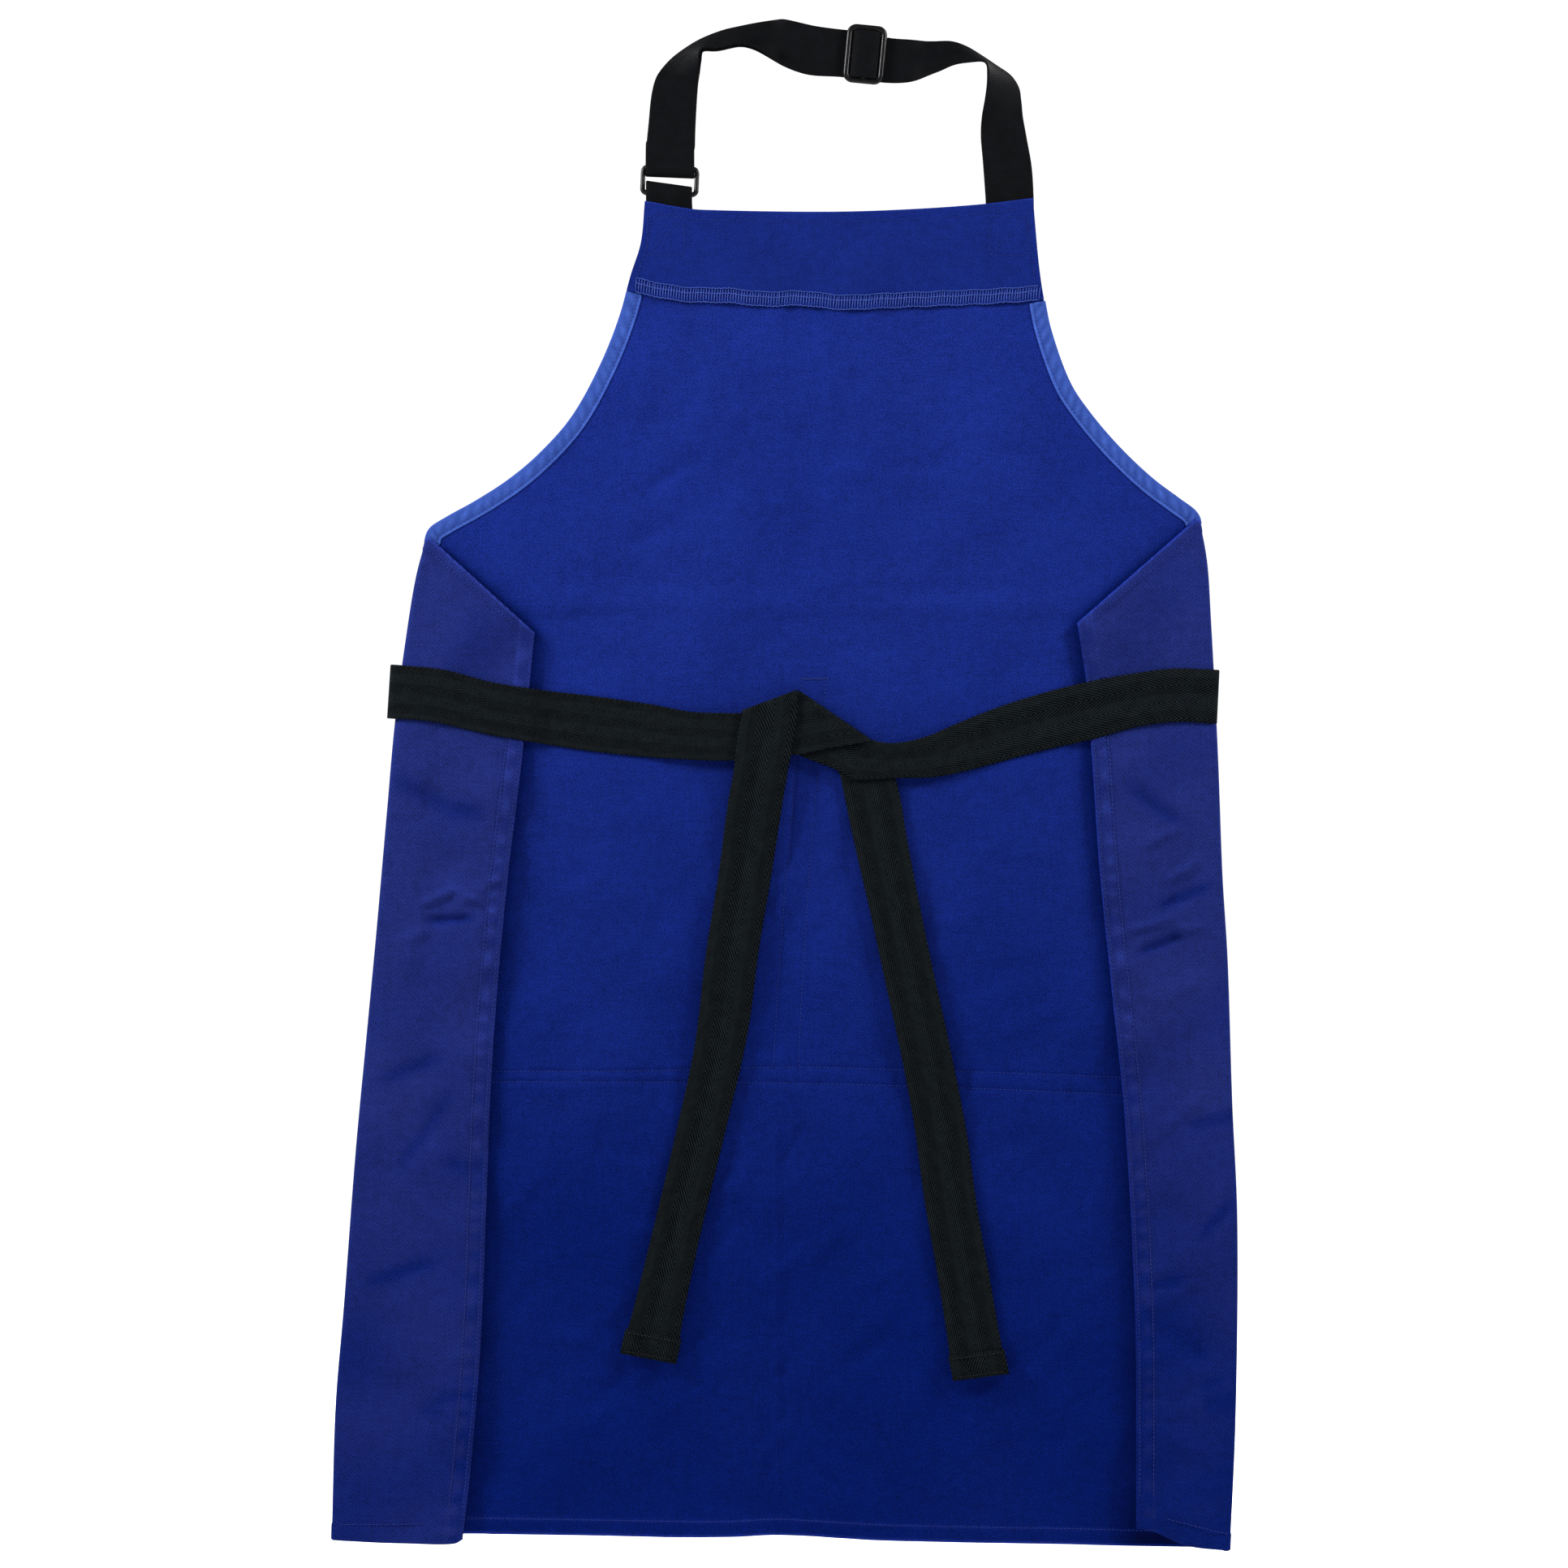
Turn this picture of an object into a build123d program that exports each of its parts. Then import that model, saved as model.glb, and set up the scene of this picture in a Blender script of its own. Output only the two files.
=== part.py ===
from build123d import *

import os
from math import cos, radians, sin

# A bib apron for welding, folded for storage.  The blue cotton body cloth is one sheet: a bib above, a
# skirt below, and two side wings that are folded in over the worn side.  Black waist ties run round the
# folds and are knotted once at the middle.  A webbing neck loop passes through a slider and a ring.
#
# Millimetres.  +Z runs up the apron from its lowest hem, X runs across it, and the worn side of the cloth
# faces -Y.  The skirt is centred on X = 0 and the middle of the sheet lies at Y = 0.

# ---- materials ---------------------------------------------------------------------------------------
CLOTH = 0.8             # cotton twill
FACING = 0.6            # lighter lining of the bib, and the bias binding
TAPE = 1.0              # herringbone tape of the waist ties
TAPE_WIDTH = 34.0
WEBBING = 1.3           # woven neck strap
WEBBING_WIDTH = 30.0
THREAD = 0.3            # height of a row of sewing thread above its cloth
THREAD_WIDTH = 0.6
GAP = 0.1               # air between layers that lie on each other

# ---- the sheet, as (X, Z) points ---------------------------------------------------------------------
FOLD_RADIUS = 3.0       # middle of the cloth where it turns over at a fold
WING_Y = -2 * FOLD_RADIUS
BIB_TOP = [(-89.8, 872.0), (20.0, 865.0), (160.7, 873.8)]
LEFT_FOLD = [(-289.0, 9.0), (-266.5, 330.0), (-228.0, 651.0)]
RIGHT_FOLD = [(284.8, 3.0), (286.0, 300.0), (265.5, 663.5)]
LEFT_ARMHOLE = [(-102.5, 806.5), (-117.6, 767.6), (-159.1, 707.2), LEFT_FOLD[2]]
RIGHT_ARMHOLE = [(168.6, 806.5), (177.5, 771.2), (216.8, 712.4), RIGHT_FOLD[2]]
# A wing's free edge, from the corner at the armhole down to the hem.  The second point is where the wing
# leaves the waist tie: above it the wing is held down, below it the wing lifts about its hinge line.
LEFT_WING_EDGE = [(-161.7, 592.7), (-170.5, 519.0), (-190.6, 288.2), (-207.9, 9.0)]
RIGHT_WING_EDGE = [(190.0, 599.0), (199.0, 516.0), (217.5, 300.0), (227.3, 9.0)]
LEFT_HINGE = [(-284.5, 9.0), (-243.0, 533.0)]
RIGHT_HINGE = [(280.0, 3.0), (275.0, 530.0)]
WING_CLEARANCE = 0.8    # between a lifting wing and the cloth that it leaves
HEM = 10.0

# ---- bib ---------------------------------------------------------------------------------------------
OVERLOCK_WIDTH = 9.0
OVERLOCK_INSET = 2.0    # from the bib's sides
TOP_STITCH_DROP = 6.5
BINDING_WIDTH = 9.5
BINDING_SPAN = (0.03, 0.96)     # where the tape starts and stops, as shares of the armhole

# ---- pocket, on the outer side -----------------------------------------------------------------------
POCKET_SIDES = (-200.0, 230.0)
POCKET_HEIGHTS = (301.0, 565.0)
DIVIDER_X = (1.3, 19.4)         # at the foot and at the mouth
DIVIDER_WIDTH = 16.0
SEAM_ALLOWANCE = 12.0
SEAM_STITCH_INSET = 3.3
FOOT_ROW_SPACING = 6.0          # between the two rows of stitching along the foot
FOOT_ROW_STANDOFF = 1.2         # clears the bow at the foot
POCKET_BOWS = (0.4, 6.0)        # how far the two compartments stand off, at the foot and at the mouth
BAR_TACK = (9.0, 1.8)

# ---- waist ties --------------------------------------------------------------------------------------
TIE_RADIUS = 4.6        # middle of the tape where it turns round a fold
LEFT_TIE_TURN = (-250.3, 553.5)
LEFT_TIE_SLOPE = -7.7
LEFT_TIE_LENGTH = 217.5
RIGHT_TIE_TURN = (276.6, 553.5)
RIGHT_TIE_SLOPE = 11.3
RIGHT_TIE_LENGTH = 204.5
TIE_ANCHOR_LENGTH = 42.0
ANCHOR_BOX = 24.0
ANCHOR_BOX_INSET = 4.0  # from the tape's cut end
CROSS_REACH = 1.36      # a sewn cross's arm, as a share of its box's shorter side
KNOT_X = (-31.0, 72.0)
KNOT_Y = (-14.0, -1.6)
KNOT_Z = (500.0, 552.0)
KNOT_CORNER = 9.0
KNOT_EDGE = 4.0
TAIL_Y = -5.0
LEFT_TAIL = [(-16.5, 495.0), (-37.5, 350.0), (-88.0, 121.0)]
RIGHT_TAIL = [(55.5, 495.0), (86.0, 340.0), (127.0, 110.0)]

# ---- neck strap --------------------------------------------------------------------------------------
STRAP_Y = 1.7           # middle of the webbing, on the outer side of the bib
NECK_AXIS_Z = 877.0     # the loop tips about this line
LEFT_STRAP_X = -74.3
STRAP_SHOULDERS = [(-73.0, 978.0), (143.0, 957.3)]
RIGHT_STRAP_FOOT = (146.0, 878.2)
SHOULDER_RADIUS = 27.0
SEWN_LENGTH = 38.0
SEWN_END_DROP = 1.3     # from the tipping line down to the sewn end
STRAP_BOX_INSET = 3.5   # from the webbing's edges to the sewn box
RETURN_LIFT = 4.0       # the folded-back layer starts this far above the turn
RETURN_END_X = 15.0
RING_BAR = 1.6          # radius of the round bar
RING_WIDTH = 34.8       # between the middles of the bars
RING_HEIGHT = 16.8
RING_CORNER = 3.0
RING_TILT = -2.5
TURN_BORE = 1.8         # the strap's turn round the ring's upper bar
TURN_LEG = 9.0
TURN_OVERLAP = 2.0      # how far the turn runs up into the straight strap
TAB_BORE = 2.4          # the tab's turn round the ring's lower bar
SLIDER_CENTRE = (52.5, 967.0)
SLIDER_TILT = -5.5
SLIDER_LENGTH = 26.4
SLIDER_HEIGHT = 38.4
SLIDER_THICKNESS = 3.0
SLIDER_CORNER = 4.0
SLIDER_EDGE = 0.9
SLIDER_BAR = 4.4
CENTRE_BAR = 4.0
SLOT_HEIGHT = 31.2
SLOT_CORNER = 1.0
SLIDER_STRAP_GAP = 0.3
HUMP_CREST = (3.6, 2.9)         # half widths of the strap's crest over the middle bar, outer and inner face
HUMP_FOOT = 1.5                 # thickness of the hump's foot, along the strap
HUMP_SIDE_GAP = 0.5             # between the hump's foot and the slider's outer bar
HUMP_FOOT_GAP = 0.4             # between the hump's foot and the slider's back

# ---- depths worked out from the above ----------------------------------------------------------------
FACING_FACE = -(CLOTH / 2 + GAP + FACING)       # the bib facing's visible side
POCKET_BACK = CLOTH / 2 + GAP
POCKET_FACE = POCKET_BACK + CLOTH
SLIDER_BACK = STRAP_Y - WEBBING / 2 - SLIDER_STRAP_GAP


def face_plane(y):
    """The upright plane at depth y, drawn in X and Z; a sketch on it extrudes towards -Y."""
    return Plane.XZ.offset(-y)


def write(builder, name):
    """Names a finished sub-part and writes its STEP file."""
    builder.part.label = name
    export_step(builder.part, f"parts/{name}.step")


def moved(point, x=0.0, z=0.0):
    """A point shifted across or up."""
    return (point[0] + x, point[1] + z)


def half_ring(radius, thickness, inward):
    """Draws half of a flat ring, open towards the inward side (+1 or -1 along the sketch's X)."""
    Circle(radius + thickness / 2)
    Circle(radius - thickness / 2, mode=Mode.SUBTRACT)
    reach = 2 * (radius + thickness)
    with Locations((inward * reach / 2, 0)):
        Rectangle(reach, 2 * reach, mode=Mode.SUBTRACT)


def layer(start, end, height, thickness):
    """Draws one straight layer from start to end along the sketch's X."""
    with Locations(((start + end) / 2, height)):
        Rectangle(abs(end - start), thickness)


def thread_row(*points):
    """Draws a row of thread through the points."""
    with BuildLine() as row:
        Polyline(*points)
    trace(row.edges(), line_width=THREAD_WIDTH)


def bib_outline(armhole_left, armhole_right):
    """Draws the bib's top and both its sides, open below."""
    ThreePointArc(*BIB_TOP)
    Line(BIB_TOP[2], armhole_right[0])
    Line(armhole_left[0], BIB_TOP[0])


os.makedirs("parts", exist_ok=True)

# ---- body cloth: bib, skirt, both folds and the tied-down upper wings --------------------------------
with BuildPart() as body_cloth:
    with BuildSketch(face_plane(CLOTH / 2)):
        with BuildLine():
            bib_outline(LEFT_ARMHOLE, RIGHT_ARMHOLE)
            Spline(*RIGHT_ARMHOLE)
            ThreePointArc(*RIGHT_FOLD)
            Line(RIGHT_FOLD[0], LEFT_FOLD[0])
            ThreePointArc(*LEFT_FOLD)
            Spline(*LEFT_ARMHOLE)
        make_face()
    extrude(amount=CLOTH)
    for fold, hinge, edge, inward in (
        (LEFT_FOLD, LEFT_HINGE, LEFT_WING_EDGE, 1),
        (RIGHT_FOLD, RIGHT_HINGE, RIGHT_WING_EDGE, -1),
    ):
        with BuildLine(face_plane(-FOLD_RADIUS)) as fold_line:
            ThreePointArc(*fold)
        along = fold_line.line % 0
        across = along.cross(Vector(0, -1, 0))
        with BuildSketch(Plane(origin=fold_line.line @ 0, x_dir=across, z_dir=along)):
            half_ring(FOLD_RADIUS, CLOTH, inward)
            layer(0, inward, FOLD_RADIUS, CLOTH)
            layer(0, inward, -FOLD_RADIUS, CLOTH)
        sweep(path=fold_line.line)
        with BuildSketch(face_plane(WING_Y + CLOTH / 2)):
            with BuildLine():
                ThreePointArc(*fold)
                Polyline(fold[2], edge[0], edge[1], hinge[1], hinge[0], fold[0])
            make_face()
        extrude(amount=CLOTH)
write(body_cloth, "body_cloth")


# ---- lifting wings: the cloth below the waist tie, inside each hinge line ----------------------------
def wing_outline(hinge, edge, inward):
    """Draws a lifting wing, clear of its hinge line and of the tied-down cloth above it."""
    foot = moved(hinge[0], x=inward * WING_CLEARANCE)
    shoulder = moved(hinge[1], x=inward * WING_CLEARANCE, z=-2 * WING_CLEARANCE)
    tip = moved(edge[1], z=-2 * WING_CLEARANCE)
    with BuildLine() as outline:
        Polyline(tip, shoulder, foot, edge[3])
        Spline(edge[3], edge[2], tip)
    make_face(outline.edges())


def wing_thread(hinge, edge, inward):
    """Draws the hem's row of thread down a wing's free edge and along its foot."""
    inset = inward * HEM
    thread_row(
        moved(edge[1], x=-inset, z=-HEM),
        moved(edge[2], x=-inset),
        moved(edge[3], x=-inset, z=HEM),
        moved(hinge[0], x=inset, z=HEM),
    )


with BuildPart() as left_wing:
    with BuildSketch(face_plane(WING_Y + CLOTH / 2)):
        wing_outline(LEFT_HINGE, LEFT_WING_EDGE, 1)
    extrude(amount=CLOTH)
write(left_wing, "left_wing")

with BuildPart() as right_wing:
    with BuildSketch(face_plane(WING_Y + CLOTH / 2)):
        wing_outline(RIGHT_HINGE, RIGHT_WING_EDGE, -1)
    extrude(amount=CLOTH)
write(right_wing, "right_wing")

with BuildPart() as left_wing_stitching:
    with BuildSketch(face_plane(WING_Y - CLOTH / 2 - GAP)):
        wing_thread(LEFT_HINGE, LEFT_WING_EDGE, 1)
    extrude(amount=THREAD)
write(left_wing_stitching, "left_wing_stitching")

with BuildPart() as right_wing_stitching:
    with BuildSketch(face_plane(WING_Y - CLOTH / 2 - GAP)):
        wing_thread(RIGHT_HINGE, RIGHT_WING_EDGE, -1)
    extrude(amount=THREAD)
write(right_wing_stitching, "right_wing_stitching")

with BuildPart() as bottom_hem_stitching:
    with BuildSketch(face_plane(-CLOTH / 2 - GAP)):
        thread_row(moved(LEFT_FOLD[0], x=HEM, z=HEM), moved(RIGHT_FOLD[0], x=-HEM, z=HEM))
    extrude(amount=THREAD)
write(bottom_hem_stitching, "bottom_hem_stitching")

# ---- bib: facing on the worn side, its overlocked edge and its top stitching -------------------------
with BuildPart() as bib_facing:
    with BuildSketch(face_plane(-CLOTH / 2 - GAP)):
        with BuildLine():
            bib_outline(LEFT_ARMHOLE, RIGHT_ARMHOLE)
            Line(LEFT_ARMHOLE[0], RIGHT_ARMHOLE[0])
        make_face()
    extrude(amount=FACING)
write(bib_facing, "bib_facing")

with BuildPart() as facing_overlock:
    with BuildSketch(face_plane(FACING_FACE - GAP)):
        with BuildLine():
            Line(
                moved(LEFT_ARMHOLE[0], x=OVERLOCK_INSET, z=OVERLOCK_WIDTH / 2),
                moved(RIGHT_ARMHOLE[0], x=-OVERLOCK_INSET, z=OVERLOCK_WIDTH / 2),
            )
        trace(line_width=OVERLOCK_WIDTH)
    extrude(amount=THREAD)
write(facing_overlock, "facing_overlock")

with BuildPart() as bib_top_stitching:
    with BuildSketch(face_plane(FACING_FACE - GAP)):
        with BuildLine():
            ThreePointArc(
                moved(BIB_TOP[0], x=TOP_STITCH_DROP, z=-TOP_STITCH_DROP),
                moved(BIB_TOP[1], z=-TOP_STITCH_DROP),
                moved(BIB_TOP[2], x=-TOP_STITCH_DROP, z=-TOP_STITCH_DROP),
            )
        trace(line_width=THREAD_WIDTH)
    extrude(amount=THREAD)
write(bib_top_stitching, "bib_top_stitching")


# ---- armhole bindings: bias tape folded over the cloth's edge ----------------------------------------
def binding_section():
    """Draws the tape's folded section; the sketch's X points outwards, away from the cloth."""
    face = CLOTH / 2 + GAP + FACING / 2
    layer(-BINDING_WIDTH, GAP, face, FACING)
    layer(-BINDING_WIDTH, GAP, -face, FACING)
    with Locations((GAP + FACING / 2, 0)):
        Rectangle(FACING, 2 * face + FACING)


with BuildPart() as left_binding:
    with BuildLine(face_plane(0)) as left_edge:
        Spline(*LEFT_ARMHOLE)
    left_path = left_edge.edge().trim(*BINDING_SPAN)
    along = left_path % 0
    with BuildSketch(Plane(left_path @ 0, x_dir=along.cross(Vector(0, -1, 0)), z_dir=along)):
        binding_section()
    sweep(path=left_path)
write(left_binding, "left_binding")

with BuildPart() as right_binding:
    with BuildLine(face_plane(0)) as right_edge:
        Spline(*RIGHT_ARMHOLE)
    right_path = right_edge.edge().trim(*BINDING_SPAN)
    along = right_path % 0
    with BuildSketch(Plane(right_path @ 0, x_dir=along.cross(Vector(0, 1, 0)), z_dir=along)):
        binding_section()
    sweep(path=right_path)
write(right_binding, "right_binding")


# ---- front pocket: one panel, two compartments that stand open at the mouth --------------------------
def pocket_section(divider, bow):
    """Draws the panel's section: flat seam allowances and divider, with a bowed layer between them."""
    left_in = POCKET_SIDES[0] + SEAM_ALLOWANCE
    left_out = divider - DIVIDER_WIDTH / 2
    right_out = divider + DIVIDER_WIDTH / 2
    right_in = POCKET_SIDES[1] - SEAM_ALLOWANCE
    with BuildLine() as section:
        for y in (POCKET_BACK, POCKET_FACE):
            Line((POCKET_SIDES[0], y), (left_in, y))
            ThreePointArc((left_in, y), ((left_in + left_out) / 2, y + bow), (left_out, y))
            Line((left_out, y), (right_out, y))
            ThreePointArc((right_out, y), ((right_out + right_in) / 2, y + bow), (right_in, y))
            Line((right_in, y), (POCKET_SIDES[1], y))
        for x in POCKET_SIDES:
            Line((x, POCKET_BACK), (x, POCKET_FACE))
    make_face(section.edges())


with BuildPart() as pocket_panel:
    for height, divider, bow in zip(POCKET_HEIGHTS, DIVIDER_X, POCKET_BOWS):
        with BuildSketch(Plane.XY.offset(height)):
            pocket_section(divider, bow)
    loft()
write(pocket_panel, "pocket_panel")

with BuildPart() as pocket_stitching:
    low = POCKET_HEIGHTS[0] + HEM / 2
    high = POCKET_HEIGHTS[1] - HEM / 2
    with BuildSketch(face_plane(POCKET_FACE + GAP + THREAD)):
        for x in (POCKET_SIDES[0] + SEAM_STITCH_INSET, POCKET_SIDES[1] - SEAM_STITCH_INSET):
            thread_row((x, low), (x, high))
        for side in (-1, 1):
            offset = side * (DIVIDER_WIDTH / 2 - THREAD_WIDTH)
            thread_row((DIVIDER_X[0] + offset, low + HEM), (DIVIDER_X[1] + offset, high))
    extrude(amount=THREAD)
    with BuildSketch(face_plane(POCKET_FACE + FOOT_ROW_STANDOFF + THREAD)):
        for z in (low, low + FOOT_ROW_SPACING):
            thread_row((POCKET_SIDES[0] + HEM, z), (POCKET_SIDES[1] - HEM, z))
    extrude(amount=THREAD)
write(pocket_stitching, "pocket_stitching")

with BuildPart() as bar_tacks:
    tack_x = (POCKET_SIDES[0] + SEAM_ALLOWANCE / 2, DIVIDER_X[1], POCKET_SIDES[1] - SEAM_ALLOWANCE / 2)
    with BuildSketch(face_plane(POCKET_FACE + GAP + THREAD)):
        with Locations([(x, POCKET_HEIGHTS[1] - BAR_TACK[1]) for x in tack_x]):
            Rectangle(*BAR_TACK)
    extrude(amount=THREAD)
write(bar_tacks, "bar_tacks")


# ---- waist ties: from the knot across a wing, round the fold, and sewn on the outer side -------------
def tie_plane(turn, slope):
    """The plane of a tie's section: X along the tape and outwards to the right, normal up its width."""
    lean = radians(slope)
    return Plane(
        origin=(turn[0], -FOLD_RADIUS, turn[1]),
        x_dir=(cos(lean), 0, sin(lean)),
        z_dir=(-sin(lean), 0, cos(lean)),
    )


def tie_section(length, inward):
    """Draws a tie's section: the standing part, the turn round the fold and the sewn end."""
    half_ring(TIE_RADIUS, TAPE, inward)
    layer(0, inward * length, -TIE_RADIUS, TAPE)
    layer(0, inward * TIE_ANCHOR_LENGTH, TIE_RADIUS, TAPE)


with BuildPart() as left_tie:
    with BuildSketch(tie_plane(LEFT_TIE_TURN, LEFT_TIE_SLOPE)):
        tie_section(LEFT_TIE_LENGTH, 1)
    extrude(amount=TAPE_WIDTH / 2, both=True)
write(left_tie, "left_tie")

with BuildPart() as right_tie:
    with BuildSketch(tie_plane(RIGHT_TIE_TURN, RIGHT_TIE_SLOPE)):
        tie_section(RIGHT_TIE_LENGTH, -1)
    extrude(amount=TAPE_WIDTH / 2, both=True)
write(right_tie, "right_tie")


def stitched_box(centre, tilt, width, height):
    """Draws a sewn box with a cross in it."""
    with Locations(Location((centre[0], centre[1], 0), (0, 0, tilt))):
        Rectangle(width, height)
        Rectangle(width - 2 * THREAD_WIDTH, height - 2 * THREAD_WIDTH, mode=Mode.SUBTRACT)
    for lean in (45, -45):
        with Locations(Location((centre[0], centre[1], 0), (0, 0, tilt + lean))):
            Rectangle(min(width, height) * CROSS_REACH, THREAD_WIDTH)


with BuildPart() as tie_anchor_stitching:
    with BuildSketch(face_plane(-FOLD_RADIUS + TIE_RADIUS + TAPE / 2 + GAP + THREAD)):
        for turn, slope, inward in (
            (LEFT_TIE_TURN, LEFT_TIE_SLOPE, 1),
            (RIGHT_TIE_TURN, RIGHT_TIE_SLOPE, -1),
        ):
            reach = inward * (TIE_ANCHOR_LENGTH - ANCHOR_BOX / 2 - ANCHOR_BOX_INSET)
            centre = moved(turn, x=reach * cos(radians(slope)), z=reach * sin(radians(slope)))
            stitched_box(centre, slope, ANCHOR_BOX, ANCHOR_BOX)
    extrude(amount=THREAD)
write(tie_anchor_stitching, "tie_anchor_stitching")

# ---- waist knot: the two ties crossed over and turned back at the middle -----------------------------
with BuildPart() as waist_knot:
    with BuildSketch(face_plane(KNOT_Y[1])):
        with Locations(((KNOT_X[0] + KNOT_X[1]) / 2, (KNOT_Z[0] + KNOT_Z[1]) / 2)):
            RectangleRounded(KNOT_X[1] - KNOT_X[0], KNOT_Z[1] - KNOT_Z[0], KNOT_CORNER)
    extrude(amount=KNOT_Y[1] - KNOT_Y[0])
    fillet(waist_knot.faces().sort_by(Axis.Y)[0].edges(), radius=KNOT_EDGE)
write(waist_knot, "waist_knot")

with BuildPart() as left_tail:
    with BuildSketch(face_plane(TAIL_Y + TAPE / 2)):
        with BuildLine():
            ThreePointArc(*LEFT_TAIL)
        trace(line_width=TAPE_WIDTH)
    extrude(amount=TAPE)
write(left_tail, "left_tail")

with BuildPart() as right_tail:
    with BuildSketch(face_plane(TAIL_Y + TAPE / 2)):
        with BuildLine():
            ThreePointArc(*RIGHT_TAIL)
        trace(line_width=TAPE_WIDTH)
    extrude(amount=TAPE)
write(right_tail, "right_tail")


# ---- ring: round bar bent to a rectangle, its lower bar lying in the tab -----------------------------
def ring_plane(height, side_on):
    """A plane on the ring's middle line, height above its lower bar: side-on to the bars, or facing -Y."""
    lean = radians(RING_TILT)
    origin = (LEFT_STRAP_X - height * sin(lean), STRAP_Y, NECK_AXIS_Z + height * cos(lean))
    along_bar = (cos(lean), 0, sin(lean))
    if side_on:
        return Plane(origin=origin, x_dir=(0, 1, 0), z_dir=along_bar)
    return Plane(origin=origin, x_dir=along_bar, z_dir=(0, -1, 0))


with BuildPart() as ring:
    with BuildLine(ring_plane(RING_HEIGHT / 2, side_on=False)) as ring_path:
        right, top = RING_WIDTH / 2, RING_HEIGHT / 2
        FilletPolyline(
            (-right, -top), (right, -top), (right, top), (-right, top),
            radius=RING_CORNER,
            close=True,
        )
    start = ring_path.wire() @ 0
    with BuildSketch(Plane(origin=start, z_dir=ring_path.wire() % 0)):
        Circle(RING_BAR)
    sweep(path=ring_path.wire())
write(ring, "ring")

# ---- ring tab: short webbing loop round the lower bar, sewn on the outer side of the bib -------------
with BuildPart() as ring_tab:
    with BuildSketch(Plane.YZ.offset(LEFT_STRAP_X)):
        with Locations((STRAP_Y, NECK_AXIS_Z)):
            Circle(TAB_BORE + WEBBING)
        with Locations((STRAP_Y, NECK_AXIS_Z - SEWN_LENGTH / 2)):
            Rectangle(2 * (STRAP_Y - POCKET_BACK), SEWN_LENGTH)
        with Locations((STRAP_Y, NECK_AXIS_Z)):
            Circle(TAB_BORE, mode=Mode.SUBTRACT)
    extrude(amount=WEBBING_WIDTH / 2, both=True)
write(ring_tab, "ring_tab")

with BuildPart() as strap_end:
    top_z = NECK_AXIS_Z - SEWN_END_DROP
    with BuildSketch(face_plane(STRAP_Y + WEBBING / 2)):
        with Locations((RIGHT_STRAP_FOOT[0], top_z - SEWN_LENGTH / 2)):
            Rectangle(WEBBING_WIDTH, SEWN_LENGTH)
    extrude(amount=WEBBING)
write(strap_end, "strap_end")

with BuildPart() as strap_stitching:
    box = WEBBING_WIDTH - 2 * STRAP_BOX_INSET
    with BuildSketch(face_plane(2 * STRAP_Y - POCKET_BACK + GAP + THREAD)):
        for x in (LEFT_STRAP_X, RIGHT_STRAP_FOOT[0]):
            stitched_box((x, NECK_AXIS_Z - SEWN_LENGTH + box / 2 + STRAP_BOX_INSET), 0, box, box)
    extrude(amount=THREAD)
write(strap_stitching, "strap_stitching")

# ---- neck strap: from the sewn end over the crown, down to its turn round the ring's upper bar -------
with BuildPart() as neck_strap:
    turn_top = NECK_AXIS_Z + RING_HEIGHT + TURN_LEG
    with BuildSketch(face_plane(STRAP_Y + WEBBING / 2)):
        with BuildLine():
            FilletPolyline(
                (LEFT_STRAP_X, turn_top),
                *STRAP_SHOULDERS,
                RIGHT_STRAP_FOOT,
                radius=SHOULDER_RADIUS,
            )
        trace(line_width=WEBBING_WIDTH)
    extrude(amount=WEBBING)
    turn_width = 2 * (TURN_BORE + WEBBING)
    with BuildSketch(ring_plane(RING_HEIGHT, side_on=True)):
        Circle(turn_width / 2)
        with Locations((0, (TURN_LEG + TURN_OVERLAP) / 2)):
            Rectangle(turn_width, TURN_LEG + TURN_OVERLAP)
        Circle(TURN_BORE, mode=Mode.SUBTRACT)
        with Locations((0, TURN_LEG / 2)):
            Rectangle(2 * TURN_BORE, TURN_LEG, mode=Mode.SUBTRACT)
    extrude(amount=WEBBING_WIDTH / 2, both=True)
write(neck_strap, "neck_strap")

with BuildPart() as strap_return:
    share = (RETURN_END_X - STRAP_SHOULDERS[0][0]) / (STRAP_SHOULDERS[1][0] - STRAP_SHOULDERS[0][0])
    end_z = STRAP_SHOULDERS[0][1] + share * (STRAP_SHOULDERS[1][1] - STRAP_SHOULDERS[0][1])
    with BuildSketch(face_plane(STRAP_Y + WEBBING * 1.5 + SLIDER_STRAP_GAP)):
        with BuildLine():
            FilletPolyline(
                (LEFT_STRAP_X, turn_top + RETURN_LIFT),
                STRAP_SHOULDERS[0],
                (RETURN_END_X, end_z),
                radius=SHOULDER_RADIUS,
            )
        trace(line_width=WEBBING_WIDTH)
    extrude(amount=WEBBING)
write(strap_return, "strap_return")


# ---- slider: three-bar strap adjuster, with the webbing that humps over its middle bar ---------------
def slider_plane(y, side_on):
    """A plane on the slider's middle at depth y: facing -Y, or side-on with its normal up the bars."""
    lean = radians(SLIDER_TILT)
    origin = (SLIDER_CENTRE[0], y, SLIDER_CENTRE[1])
    along_strap = (cos(lean), 0, sin(lean))
    up_the_bars = (-sin(lean), 0, cos(lean))
    return Plane(origin=origin, x_dir=along_strap, z_dir=up_the_bars if side_on else (0, -1, 0))


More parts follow.
